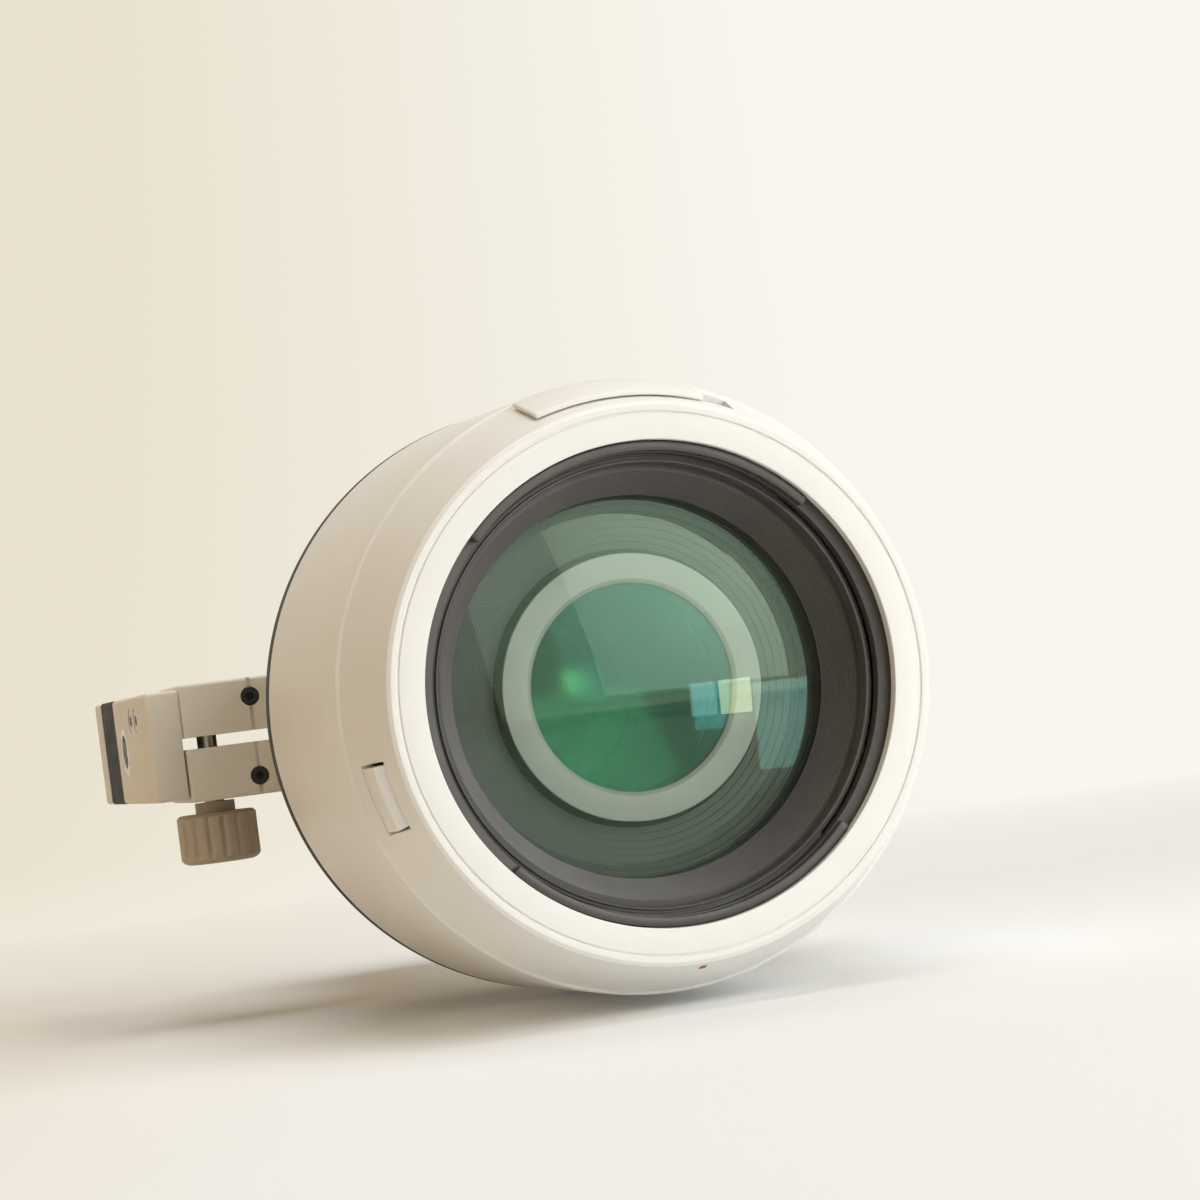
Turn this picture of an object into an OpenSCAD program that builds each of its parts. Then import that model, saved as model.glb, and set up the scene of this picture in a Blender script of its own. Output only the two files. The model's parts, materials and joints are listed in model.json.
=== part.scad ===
// White telephoto zoom lens with its hood stowed in reverse and a turning tripod
// collar whose foot points sideways. Millimetres, +Z up, origin at the centre of
// the camera flange, the front glass looks along -Y.
// Inside on_axis() the lens lies along its own z: x to the right seen from the
// front, y down, z the distance behind the hood's front face. Clock angles run
// counter-clockwise seen from the front, from 0 at the right.

/* [Lens] */
// Recess of the front ring behind the hood's front face
front_recess = 5.4; // [4.8:0.1:6]
// Radius of the filter thread
filter_r = 38.5; // [37:0.5:40]
// Length of the filter thread
filter_len = 3.4; // [2.5:0.1:4]
// Wall of the front ring's lip
lip_wall = 0.55; // [0.4:0.05:0.8]
// Width of the sloping bezel between the filter thread and the front glass
bezel_w = 4.7; // [4:0.1:6]
// Bulge of the front glass
glass_sag = 5.6; // [4.5:0.1:6.2]
// Wall of the outer tubes
tube_wall = 2; // [1.6:0.1:2.6]

/* [Hood] */
// Gap between the filter thread and the white front face
face_gap = 3.5; // [3.3:0.1:4.5]
// Width of the white front face
face_w = 6.6; // [5.5:0.1:8]
// Length of the sloping front band
band_len = 16.8; // [14:0.2:20]
// Widening of the band from the face to the seam behind it
band_rise = 5.6; // [4.6:0.1:7]
// Widening of the hood from the seam to the open rear end
skirt_flare = 1.6; // [1:0.1:3.5]
// Length of the hood
hood_len = 78; // [70:1:84]
// Wall of the hood
hood_wall = 2.2; // [1.8:0.1:2.6]
// Length of the rubber rim at the open end
rim_len = 3.8; // [3:0.2:5]
// Turn of the window cover from closed in the pose shown
cover_open = 7; // [4:1:12]

/* [Rings] */
// Front end of the zoom ring
zoom_start = 40; // [38:1:44]
// Length of the zoom ring
zoom_len = 34; // [30:1:38]
// Length of the fixed band between the rings
band_mid_len = 13; // [12:0.5:16]
// Length of the focus ring
focus_len = 23; // [20:1:26]
// Step from the filter thread out to the rings' rubber
ring_step = 8.5; // [7:0.5:9.5]
// Thickness of the rings' rubber
grip_thick = 1.4; // [1:0.1:1.8]
// Ribs round each rubber grip
grip_ribs = 36; // [24:1:48]

/* [Inside] */
// Step from the filter thread in to the bore of the guide tube
guide_step = 8.5; // [7.5:0.5:9.5]
// Travel of the front zoom group
zoom_travel = 22; // [16:1:23]
// Travel of the rear zoom group
rear_zoom_travel = 6; // [3:0.5:7]
// Travel of the focus group
focus_travel = 6; // [3:0.5:7]

/* [Rear] */
// Step from the filter thread in to the rear barrel
rear_step = 0.5; // [0:0.1:1.5]
// Radius of the camera flange
flange_r = 31; // [30:0.5:32]
// Inner radius of the mount
throat_r = 22; // [21:0.5:23]
// Length of the bayonet behind the flange
bayonet_len = 5.6; // [5:0.2:6.5]
// Length of the switch panel
panel_len = 23.5; // [23:0.5:28]
// Length of the tapering tail up to the flange
tail_len = 25; // [20:1:35]

/* [Collar and foot] */
// Length of the collar along the lens
collar_len = 30; // [28:1:32]
// Thickness of the collar
collar_wall = 3.6; // [3:0.1:4.5]
// Height of each clamp lug
lug_h = 10.6; // [9:0.2:12]
// Slit between the clamp lugs
slit_w = 2.4; // [1.6:0.2:3]
// Reach of the clamp lugs from the lens's axis
lug_reach = 65.2; // [63:0.2:68]
// Thickness of the foot plate
foot_thick = 7; // [6:0.2:8]
// Length of the foot plate
foot_len = 78; // [70:1:80]
// Diameter of the clamp knob
knob_d = 16; // [14:0.5:18]
// Height of the clamp knob
knob_h = 10; // [8:0.5:12]
// Radius of the tripod thread
tripod_r = 3.175; // [3.175:0.001:4.7625]

/* [Hidden] */

$fn = 96;
white = "#f3f1ea";
cream = "#e6e0d0";
black = "#2a2827";
rubber = "#1d1c1b";
grey = "#8a8783";
metal = "#b9b7b2";
gold = "#c9a24b";
glass = "#7fb59a";

// Gap between pieces that turn or slide past each other
run_gap = 0.4;
// Radial clearance of a running fit
fit_gap = 0.06;
// Overshoot of a cut past the face that it opens
cut = 1;
// Overlap of two shapes that form one piece
weld = 0.5;

// Main radii, each a step from the filter thread
glass_r = filter_r - bezel_w;
guide_r = filter_r - guide_step;
rear_r = filter_r - rear_step;
grip_r = filter_r + ring_step;
face_r = filter_r + face_gap;
face_outer_r = face_r + face_w;
seam_r = face_outer_r + band_rise;
mouth_r = seam_r + skirt_flare;

// Stations along the lens
collar_lead = 8.8;
panel_lead = 4;
taper_lead = 2.5;
zoom_end = zoom_start + zoom_len;
mid_start = zoom_end + run_gap;
mid_end = mid_start + band_mid_len;
focus_start = mid_end + run_gap;
focus_end = focus_start + focus_len;
rear_start = focus_end + run_gap;
collar_start = rear_start + collar_lead;
collar_end = collar_start + collar_len;
panel_t = [collar_end + panel_lead, collar_end + panel_lead + panel_len];
rear_taper = panel_t[1] + taper_lead;
lens_len = rear_taper + tail_len;
flange_thick = 4;
rear_end = lens_len - flange_thick;
plug_end = rear_start + 4;

// The hood's outer slope over the band and behind the seam
edge_t = 0.6;
seam_step = 0.6;
function band_r(t) = face_outer_r
  + (seam_r - seam_step - face_outer_r) * (t - edge_t) / (band_len - seam_step - edge_t);
function skirt_r(t) = seam_r + (mouth_r - seam_r) * (t - band_len) / (hood_len - band_len);

// The hood's bayonet: two lugs on the lens, two hooks behind them
lug_half = 42;
face_thick = 2.4;
sleeve_r = face_r + 2.6;
sleeve_wall = 1.8;
hook_r = filter_r + 1.7;
lens_tube_r = filter_r + 1.1;
lens_lug_r = face_r + 0.3;
channel_r = lens_lug_r + 0.6;
plate_t = 3.4;
plate_thick = 2.6;
lug_t = plate_t + plate_thick + run_gap;
lug_thick = 2.4;
hook_t = lug_t + lug_thick + run_gap;
hook_thick = 2.2;
sleeve_end = hook_t + hook_thick + 0.6;

// Window and release in the hood's band
window_lead = 5.6;
window_len = 8;
window_t = [window_lead, window_lead + window_len];
window_a = [66, 101];
cover_margin = 1.4;
cover_t = [window_t[0] - cover_margin, window_t[1] + cover_margin];
cover_a = [window_a[0] + cover_open, window_a[1] + cover_open];
cover_thick = 0.9;
release_a = 195.3;
release_half = 6.4;
release_lead = 5.4;
release_len = 6.8;
release_t = [release_lead, release_lead + release_len];
release_room = 0.7;
release_floor = sleeve_r + 3.2;

// Front glass and what holds it
inset_r = filter_r - 0.6;
glass_edge_r = glass_r + 1.8;
glass_t = front_recess + 6;
glass_edge_t = glass_t + glass_sag;
glass_back_t = glass_edge_t + 2.2;
glass_hollow = 1.2;
baffle_back_t = glass_back_t + 5.4;
baffle_steps = 8;
nose_r = guide_r - 6.2;
nose_gap = 1;

// Cells inside the guide tube
slide_r = guide_r - fit_gap;
guide_wall = 1.4;
guide_lead = 6;
guide_start = baffle_back_t + guide_lead;
guide_end = collar_end - 2;
cell_nose_t = glass_back_t + 0.8;
retainer_thick = 0.9;
retainer_lift = 0.2;
zoom_lens_r = nose_r - 4.9;
zoom_lens_thick = 8;
zoom_lens_sag = 3.5;
zoom_pin_t = zoom_start + 5;
zoom_clear = 8;
rear_zoom_t = zoom_pin_t + zoom_travel + zoom_clear;
rear_zoom_lens_r = guide_r - 13;
rear_zoom_len = 10;
rear_zoom_pin_t = rear_zoom_t + rear_zoom_len / 2;
focus_clear = 6;
focus_cell_t = rear_zoom_t + rear_zoom_len + rear_zoom_travel + focus_clear;
focus_lens_r = guide_r - 14;
focus_cell_len = 10;
iris_clear = 4;
iris_t = focus_cell_t + focus_cell_len + focus_travel + iris_clear;
iris_r = guide_r - 9;
iris_len = 8;
iris_wall = 1;
blade_room_t = iris_t + iris_wall;
rear_clear = 4;
rear_cell_t = iris_t + iris_len + rear_clear;
rear_lens_r = guide_r - 13;
pin_r = 1.3;
blade_pitch = 0.6;
blade_thick = 0.25;
blade_pivot_r = guide_r - 5.5;
cam_r = guide_r + guide_wall + 0.7;
cam_wall = 1.5;

// Ring bodies under the rubber
ring_r = grip_r - grip_thick;
ring_in_r = ring_r - 2.6;
ring_lip = 2.5;
ring_seat_r = ring_in_r - fit_gap;

// Hold button on the middle band, on the side away from the clamp
hold_r = 4.2;
hold_t = (mid_start + mid_end) / 2;
hold_in = 1.8;
hold_out = 0.9;
hold_press = 0.8;

// Switch panel on the side of the rear barrel
panel_half = 9;
panel_x = [rear_r - 4, rear_r + 2];
switch_step = 7.5;
switch_recess = 1.4;
switch_size = [4, 5];
switch_throw = 3;
switch_edge = 4.25;
switch_lift = 0.3;
switch_proud = 1.2;

// Camera mount
neck_r = throat_r + 3.6;
bayonet_lug = 1.8;
bayonet_lug_thick = 2.2;
bayonet_lug_arc = 52;
relief_r = neck_r + bayonet_lug + 0.4;
relief_deep = 0.4;
mount_screw_r = 0.9;
mount_screw_reach = 2.4;
mount_head_r = 1.7;
mount_head = 1.4;
head_room = 0.2;
end_wall = 3;
gate_r = throat_r + 2;
gate_thick = 1.6;
board_thick = 1.6;
contact_half = 38;
contact_step = 7.6;
contact_pin_r = 0.7;
contact_proud = 0.5;

// Clamp at the collar's side
seat_r = rear_r + 1;
liner_thick = 1;
collar_in_r = seat_r + liner_thick;
collar_r = collar_in_r + collar_wall;
collar_gap = 0.5;
lug_half_h = slit_w / 2 + lug_h;
lug_screw_x = -(collar_r + (lug_reach - collar_r) * 0.34);
lug_screw_y = lug_half_h - 3.8;
lug_screw_r = 1;
lug_screw_len = 8;
lug_screw_head_r = 1.9;
lug_screw_head = 1.6;
lug_end = collar_end - 2;
knob_inset = 6;
knob_lead = 10;
knob_x = -(lug_reach - knob_inset);
knob_t = collar_start + knob_lead;
knob_gap = 2.6;
knob_grip = 6;
screw_r = 2;

// Foot plate across the ends of the lugs, screwed to the upper one only
foot_half_h = lug_half_h - 0.8;
foot_x = [-lug_reach - foot_thick, -lug_reach];
foot_relief = 0.4;
foot_pad_lead = 48;
foot_pad_len = 20;
foot_pad_t = [collar_start + foot_pad_lead, collar_start + foot_pad_lead + foot_pad_len];
foot_pad_deep = 1;
foot_screw_r = 1.5;
foot_screw_head_r = 2.6;
foot_screw_head = 2;
foot_screw_y = -6;
foot_screw_lead = 16.5;
foot_screw_step = 7.5;
foot_screw_ts = [collar_start + foot_screw_lead, collar_start + foot_screw_lead + foot_screw_step];
foot_screw_reach = 9;
bush_r = tripod_r + 1.8;
bush_lead = 37;
bush_t = collar_start + bush_lead;

module on_axis() {
  translate([0, -lens_len, 0]) rotate([-90, 0, 0]) children();
}

module ring(points) {
  rotate_extrude() polygon(points);
}

module tube(r0, r1, t0, t1) {
  translate([0, 0, t0]) rotate_extrude() translate([r0, 0]) square([r1 - r0, t1 - t0]);
}

module sector_of(points, a0, a1) {
  rotate([0, 0, -a1]) rotate_extrude(angle = a1 - a0) polygon(points);
}

module sector(r0, r1, t0, t1, a0, a1) {
  sector_of([[r0, t0], [r1, t0], [r1, t1], [r0, t1]], a0, a1);
}

module at_clock(a) {
  rotate([0, 0, -a]) children();
}

module radial_pin(r, r0, r1, t, a) {
  at_clock(a) translate([r0, 0, t]) rotate([0, 90, 0]) cylinder(r = r, h = r1 - r0);
}

module box(x, y, t) {
  translate([x[0], y[0], t[0]]) cube([x[1] - x[0], y[1] - y[0], t[1] - t[0]]);
}

// Hole or shaft along the lens's y
module upright(r, x, y, t) {
  translate([x, y[0], t]) rotate([-90, 0, 0]) cylinder(r = r, h = y[1] - y[0]);
}

module grip(t0, t1) {
  rib_gap = 1.6;
  rib_depth = grip_thick * 0.6;
  difference() {
    tube(ring_r, grip_r, t0, t1);
    for (i = [0 : grip_ribs - 1])
      at_clock(i * 360 / grip_ribs)
        box([grip_r - rib_depth, grip_r + cut], [-rib_gap / 2, rib_gap / 2], [t0 + 3, t1 - 3]);
  }
}

// Lens element between a bulging front and a hollow back
module element(r, t_front, front_sag, t_back, back_sag) {
  steps = 10;
  front = [for (i = [0 : steps]) let (q = i / steps) [r * q, t_front + front_sag * q * q]];
  back = [for (i = [0 : steps]) let (q = 1 - i / steps) [r * q, t_back + back_sag * q * q]];
  ring(concat(front, back));
}

module hood_shell() {
  groove_r = face_outer_r - 1.9;
  groove_half = 0.2;
  groove_deep = 0.35;
  rim_t = hood_len - rim_len;
  floor_t = face_thick + 1.6;
  turn_t = band_len + 0.6;
  color(white) on_axis() difference() {
    ring([
      [face_r, 0], [groove_r - groove_half, 0], [groove_r - groove_half, groove_deep],
      [groove_r + groove_half, groove_deep], [groove_r + groove_half, 0],
      [face_outer_r - edge_t, 0], [face_outer_r, edge_t],
      [seam_r - seam_step, band_len - seam_step], [seam_r, band_len],
      [skirt_r(rim_t), rim_t], [skirt_r(rim_t) - hood_wall, rim_t],
      [skirt_r(turn_t) - hood_wall, turn_t], [band_r(floor_t) - hood_wall, floor_t],
      [sleeve_r + sleeve_wall, floor_t], [sleeve_r + sleeve_wall, sleeve_end],
      [sleeve_r, sleeve_end], [sleeve_r, face_thick], [face_r, face_thick]
    ]);
    sector(release_floor - cut, seam_r + cut, window_t[0], window_t[1], window_a[0], window_a[1]);
    sector(release_floor - cut, seam_r + cut, release_t[0] - run_gap, release_t[1] + run_gap,
      release_a - release_half - release_room, release_a + release_half + release_room);
  }
}

module hood_bayonet_ring() {
  lip_r = face_r - 0.2;
  lip_t = 1.2;
  lip_half = 46.5;
  plate_r = hook_r - 0.2;
  seat = face_r + 0.4;
  color(black) on_axis() {
    ring([
      [plate_r, plate_t], [seat, plate_t], [seat, face_thick], [sleeve_r, face_thick],
      [sleeve_r, sleeve_end], [channel_r, sleeve_end], [channel_r, plate_t + plate_thick],
      [plate_r, plate_t + plate_thick]
    ]);
    for (a = [90, 270]) {
      sector(hook_r, lip_r, lip_t, plate_t + weld, a - lip_half, a + lip_half);
      sector(hook_r, channel_r + weld, hook_t, hook_t + hook_thick, a - lug_half, a + lug_half);
    }
  }
}

module hood_lining() {
  lining = 0.6;
  t0 = band_len + 3;
  t1 = hood_len - rim_len;
  color(rubber) on_axis() ring([
    [skirt_r(t0) - hood_wall, t0], [skirt_r(t1) - hood_wall, t1],
    [skirt_r(t1) - hood_wall - lining, t1], [skirt_r(t0) - hood_wall - lining, t0]
  ]);
}

module hood_rim() {
  t0 = hood_len - rim_len;
  bevel = 0.8;
  color(black) on_axis() ring([
    [skirt_r(t0) - hood_wall, t0], [skirt_r(t0), t0], [mouth_r, hood_len - bevel],
    [mouth_r - bevel, hood_len], [mouth_r - hood_wall, hood_len]
  ]);
}

module hood_window_cover() {
  low = 0.3;
  color(white) on_axis() sector_of([
    [band_r(cover_t[0]) + low, cover_t[0]], [band_r(cover_t[0]) + low + cover_thick, cover_t[0]],
    [band_r(cover_t[1]) + low + cover_thick, cover_t[1]], [band_r(cover_t[1]) + low, cover_t[1]]
  ], cover_a[0], cover_a[1]);
}

module hood_release_button() {
  bar_t = release_t[0] + 2.2;
  bar_h = 0.8;
  sunk = 0.3;
  a0 = release_a - release_half;
  a1 = release_a + release_half;
  color(white) on_axis() {
    sector_of([
      [release_floor, release_t[0]], [band_r(release_t[0]) - sunk, release_t[0]],
      [band_r(release_t[1]) - sunk, release_t[1]], [release_floor, release_t[1]]
    ], a0, a1);
    sector_of([
      [release_floor, release_t[0]], [band_r(release_t[0]) + bar_h, release_t[0]],
      [band_r(bar_t) + bar_h, bar_t], [release_floor, bar_t]
    ], a0, a1);
  }
}

module front_ring() {
  color(black) on_axis() {
    ring([
      [filter_r, front_recess], [filter_r + lip_wall, front_recess],
      [filter_r + lip_wall, lug_t - run_gap], [lens_tube_r, lug_t - run_gap],
      [lens_tube_r, guide_start], [inset_r, guide_start], [inset_r, front_recess + filter_len],
      [filter_r, front_recess + filter_len]
    ]);
    for (a = [90, 270])
      sector(lens_tube_r - weld, lens_lug_r, lug_t, lug_t + lug_thick, a - lug_half, a + lug_half);
  }
}

module name_ring() {
  lip = 0.4;
  t0 = front_recess + filter_len;
  rim_sag = glass_sag * pow(glass_r / glass_edge_r, 2);
  color(black) on_axis() ring([
    [inset_r, t0], [filter_r - 1.1, t0], [glass_r, glass_t + rim_sag - lip],
    [glass_r, glass_t + rim_sag], [glass_edge_r, glass_edge_t], [glass_edge_r, glass_back_t],
    [inset_r, glass_back_t]
  ]);
}

module front_lens() {
  color(glass, 0.5) on_axis()
    element(glass_edge_r, glass_t, glass_sag, glass_back_t - glass_hollow, glass_hollow);
}

module front_baffle() {
  inner = nose_r + nose_gap;
  outer = glass_edge_r - 0.6;
  step_r = (outer - inner) / baffle_steps;
  step_t = 0.5;
  first_t = glass_back_t + 0.3;
  stairs = [for (i = [0 : baffle_steps - 1], s = [0, 1])
    [outer - (i + s) * step_r, first_t + i * step_t]];
  color(black) on_axis() ring(concat(
    [[inset_r, glass_back_t], [outer, glass_back_t]], stairs,
    [[inner, baffle_back_t], [inset_r, baffle_back_t]]
  ));
}

module front_barrel() {
  barrel_r = ring_r - 2;
  t0 = sleeve_end + 4;
  t1 = zoom_start - run_gap;
  web_r = guide_r + guide_wall;
  web_end = guide_start + 5;
  bevel = 0.8;
  color(white) on_axis() ring([
    [lens_tube_r, t0], [barrel_r - bevel, t0], [barrel_r, t0 + bevel], [barrel_r, t1],
    [barrel_r - tube_wall, t1], [barrel_r - tube_wall, web_end],
    [web_r, web_end], [web_r, guide_start], [lens_tube_r, guide_start]
  ]);
}

module guide_slots(t0, t1, first) {
  half = pin_r + run_gap;
  for (a = [first, first + 120, first + 240])
    at_clock(a) box([guide_r - cut, guide_r + guide_wall + cut], [-half, half], [t0 - half, t1 + half]);
}

module guide_tube() {
  color(metal) on_axis() difference() {
    tube(guide_r, guide_r + guide_wall, guide_start, guide_end);
    guide_slots(zoom_pin_t, zoom_pin_t + zoom_travel, 30);
    guide_slots(rear_zoom_pin_t, rear_zoom_pin_t + rear_zoom_travel, 90);
  }
}

module middle_barrel() {
  color(white) on_axis() difference() {
    ring([
      [ring_seat_r - tube_wall, mid_start], [ring_r, mid_start], [ring_r, mid_end],
      [ring_seat_r, mid_end], [ring_seat_r, plug_end], [ring_seat_r - tube_wall, plug_end]
    ]);
    radial_pin(hold_r + run_gap, ring_r - hold_in - hold_press - run_gap, ring_r + cut, hold_t, 0);
  }
}

module rear_barrel() {
  web_r = guide_r + guide_wall;
  inner = rear_r - tube_wall;
  plug_r = ring_seat_r - tube_wall;
  web_t = [rear_start + 1, rear_start + 6];
  end_r = flange_r + 2.5;
  end_t = rear_end - end_wall;
  color(white) on_axis() difference() {
    ring([
      [web_r, web_t[0]], [plug_r, web_t[0]], [plug_r, plug_end], [ring_seat_r, plug_end],
      [ring_seat_r, collar_start - collar_gap], [seat_r, collar_start - collar_gap],
      [seat_r, collar_end + collar_gap], [rear_r, collar_end + collar_gap],
      [rear_r, rear_taper], [end_r, rear_end], [gate_r, rear_end], [gate_r, end_t],
      [end_r - end_wall, end_t], [inner, rear_taper], [inner, web_t[1]], [web_r, web_t[1]]
    ]);
    box(panel_x, [-panel_half, panel_half], panel_t);
    mount_screw_places() translate([0, 0, -mount_screw_reach - head_room])
      cylinder(r = mount_screw_r, h = mount_screw_reach + head_room + cut);
  }
}

function switch_t(i) = panel_t[0] + switch_edge + i * switch_step;

module switch_panel() {
  room = run_gap;
  color(grey) on_axis() difference() {
    box(panel_x, [-panel_half, panel_half], panel_t);
    for (i = [0 : 2])
      box([panel_x[1] - switch_recess, panel_x[1] + cut],
        [-switch_size[1] / 2 - room, switch_size[1] / 2 + switch_throw + room],
        [switch_t(i) - switch_size[0] / 2 - room, switch_t(i) + switch_size[0] / 2 + room]);
  }
}

module slide_switch(i) {
  color(black) on_axis()
    box([panel_x[1] - switch_recess + switch_lift, panel_x[1] + switch_proud],
      [-switch_size[1] / 2, switch_size[1] / 2],
      [switch_t(i) - switch_size[0] / 2, switch_t(i) + switch_size[0] / 2]);
}

module focus_mode_switch() { slide_switch(0); }
module focus_limit_switch() { slide_switch(1); }
module lock_switch() { slide_switch(2); }

module focus_hold_button() {
  color(grey) on_axis() radial_pin(hold_r, ring_r - hold_in, ring_r + hold_out, hold_t, 0);
}

module ring_body(t0, t1) {
  tube(ring_in_r, ring_r, t0, t1);
  tube(ring_r - weld, grip_r, t0, t0 + ring_lip);
  tube(ring_r - weld, grip_r, t1 - ring_lip, t1);
}

module zoom_ring() {
  color(white) on_axis() ring_body(zoom_start, zoom_end);
}

module zoom_grip() {
  color(rubber) on_axis() grip(zoom_start + ring_lip, zoom_end - ring_lip);
}

module cam_tube() {
  web_t = zoom_start + zoom_len / 2;
  web_thick = 3;
  margin = 3;
  color(metal) on_axis() {
    tube(cam_r, cam_r + cam_wall, zoom_start + cut, rear_zoom_pin_t + rear_zoom_travel + margin);
    tube(cam_r + cam_wall - weld, ring_in_r, web_t, web_t + web_thick);
  }
}

module zoom_cell() {
  skirt = 3;
  back = zoom_pin_t + 3;
  front = cell_nose_t + retainer_thick;
  step_t = guide_start + 1;
  color(black) on_axis() {
    ring([
      [zoom_lens_r, front], [nose_r, front], [nose_r, step_t], [slide_r, step_t + 3],
      [slide_r, back], [slide_r - skirt, back], [slide_r - skirt, step_t + 6],
      [zoom_lens_r, step_t + 2]
    ]);
    for (a = [30, 150, 270])
      radial_pin(pin_r, slide_r - skirt / 2, guide_r + guide_wall + 0.3, zoom_pin_t, a);
  }
}

module zoom_lens() {
  color(glass, 0.5) on_axis()
    element(zoom_lens_r, cell_nose_t - retainer_lift, retainer_thick + retainer_lift,
      cell_nose_t + zoom_lens_thick, -zoom_lens_sag);
}

module zoom_retainer() {
  inner = zoom_lens_r - 0.4;
  lens_slope = 2 * (retainer_thick + retainer_lift) / zoom_lens_r;
  color(grey) on_axis() ring([
    [inner, cell_nose_t + retainer_thick - 0.4 * lens_slope - 0.3], [inner + 0.8, cell_nose_t],
    [nose_r, cell_nose_t], [nose_r, cell_nose_t + retainer_thick],
    [zoom_lens_r, cell_nose_t + retainer_thick],
    [inner, cell_nose_t + retainer_thick - 0.4 * lens_slope]
  ]);
}

module rear_zoom_cell() {
  color(black) on_axis() {
    tube(rear_zoom_lens_r, slide_r, rear_zoom_t, rear_zoom_t + rear_zoom_len);
    for (a = [90, 210, 330])
      radial_pin(pin_r, slide_r - 2, guide_r + guide_wall + 0.3, rear_zoom_pin_t, a);
  }
}

module rear_zoom_lens() {
  color(glass, 0.5) on_axis()
    element(rear_zoom_lens_r, rear_zoom_t, 2, rear_zoom_t + rear_zoom_len - 3, 2);
}

module focus_ring() {
  color(white) on_axis() ring_body(focus_start, focus_end);
}

module focus_grip() {
  color(rubber) on_axis() grip(focus_start + ring_lip, focus_end - ring_lip);
}

module focus_cell() {
  color(black) on_axis()
    tube(focus_lens_r, slide_r, focus_cell_t, focus_cell_t + focus_cell_len);
}

module focus_lens() {
  color(glass, 0.5) on_axis()
    element(focus_lens_r, focus_cell_t, 1.5, focus_cell_t + focus_cell_len - 3, 1.5);
}

module iris_housing() {
  room_r = guide_r - 1.6;
  color(black) on_axis() ring([
    [iris_r, iris_t], [guide_r, iris_t], [guide_r, iris_t + iris_len],
    [iris_r, iris_t + iris_len], [iris_r, iris_t + iris_len - iris_wall],
    [room_r, iris_t + iris_len - iris_wall], [room_r, blade_room_t], [iris_r, blade_room_t]
  ]);
}

module iris_ring() {
  t1 = iris_t + iris_len - iris_wall - 0.3;
  color(metal) on_axis() tube(iris_r + 1, guide_r - 1.6 - fit_gap, t1 - 1.2, t1);
}

// Blade i lies in its own plane and swings inward about its pivot pin
module iris_blade(i) {
  t0 = blade_room_t + 0.4 + i * blade_pitch;
  a0 = i * 60;
  color(black) on_axis() {
    sector(iris_r + 0.3, guide_r - 2.2, t0, t0 + blade_thick, a0 - 2.5, a0 + 50);
    at_clock(a0) translate([blade_pivot_r, 0, blade_room_t + 0.3])
      cylinder(r = 0.8, h = t0 + blade_thick - blade_room_t - 0.3);
  }
}

module iris_blade_1() { iris_blade(0); }
module iris_blade_2() { iris_blade(1); }
module iris_blade_3() { iris_blade(2); }
module iris_blade_4() { iris_blade(3); }
module iris_blade_5() { iris_blade(4); }
module iris_blade_6() { iris_blade(5); }

module rear_cell() {
  color(black) on_axis() tube(rear_lens_r, guide_r, rear_cell_t, guide_end);
}

module rear_lens() {
  color(glass, 0.5) on_axis()
    element(rear_lens_r, rear_cell_t, 2, guide_end - 2, -1.5);
}

module main_board() {
  wire_half = 4;
  wire_deep = 9;
  t0 = rear_taper - board_thick;
  color("#2f6b46") on_axis() difference() {
    tube(throat_r + 3, rear_r - tube_wall, t0, rear_taper);
    box([-wire_half, wire_half], [rear_r - wire_deep, rear_r], [t0 - cut, rear_taper + cut]);
  }
}

module rear_baffle() {
  gate = [24, 17];
  t0 = rear_end - end_wall;
  color(black) on_axis() difference() {
    tube(0, gate_r, t0, t0 + gate_thick);
    box([-gate[0] / 2, gate[0] / 2], [-gate[1] / 2, gate[1] / 2],
      [t0 - cut, t0 + gate_thick + cut]);
  }
}

module mount_screw_places() {
  for (a = [45, 135, 225, 315])
    at_clock(a) translate([flange_r - 3, 0, rear_end]) children();
}

module mount_plate() {
  back = lens_len + bayonet_len;
  relief_t = lens_len - relief_deep;
  head_t = flange_thick - mount_head - head_room;
  color(metal) on_axis() difference() {
    union() {
      ring([
        [throat_r, rear_end], [flange_r, rear_end], [flange_r, lens_len], [relief_r, lens_len],
        [relief_r, relief_t], [neck_r, relief_t], [neck_r, back], [throat_r, back]
      ]);
      for (a = [20, 140, 260])
        sector(neck_r - weld, neck_r + bayonet_lug, back - bayonet_lug_thick, back,
          a, a + bayonet_lug_arc);
    }
    mount_screw_places() {
      translate([0, 0, -cut]) cylinder(r = mount_screw_r, h = flange_thick + cut);
      translate([0, 0, head_t]) cylinder(r = mount_head_r + head_room, h = flange_thick);
    }
  }
}

module mount_gasket() {
  outer = flange_r + 1.5;
  lip_r = flange_r + 0.6;
  lip_t = lens_len + 0.5;
  seat_t = lens_len - 0.3;
  color(rubber) on_axis() ring([
    [flange_r, rear_end], [outer, rear_end], [outer, lip_t], [lip_r, lip_t],
    [lip_r, seat_t], [flange_r, seat_t]
  ]);
}

module mount_screws() {
  head_t = flange_thick - mount_head - head_room;
  color(metal) on_axis() mount_screw_places() {
    translate([0, 0, -mount_screw_reach])
      cylinder(r = mount_screw_r, h = mount_screw_reach + head_t + weld);
    translate([0, 0, head_t]) cylinder(r = mount_head_r, h = mount_head);
  }
}

// Contact strip along the top of the mount's throat
contact_r = throat_r - 4;
contact_end = lens_len + bayonet_len - 1.2;

module contact_block() {
  color(black) on_axis()
    sector(contact_r, throat_r, rear_end - end_wall + gate_thick, contact_end,
      90 - contact_half, 90 + contact_half);
}

module contact_pins() {
  color(gold) on_axis() for (i = [-4 : 4])
    at_clock(90 + i * contact_step) translate([(contact_r + throat_r) / 2, 0, contact_end])
      cylinder(r = contact_pin_r, h = contact_proud);
}

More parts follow.
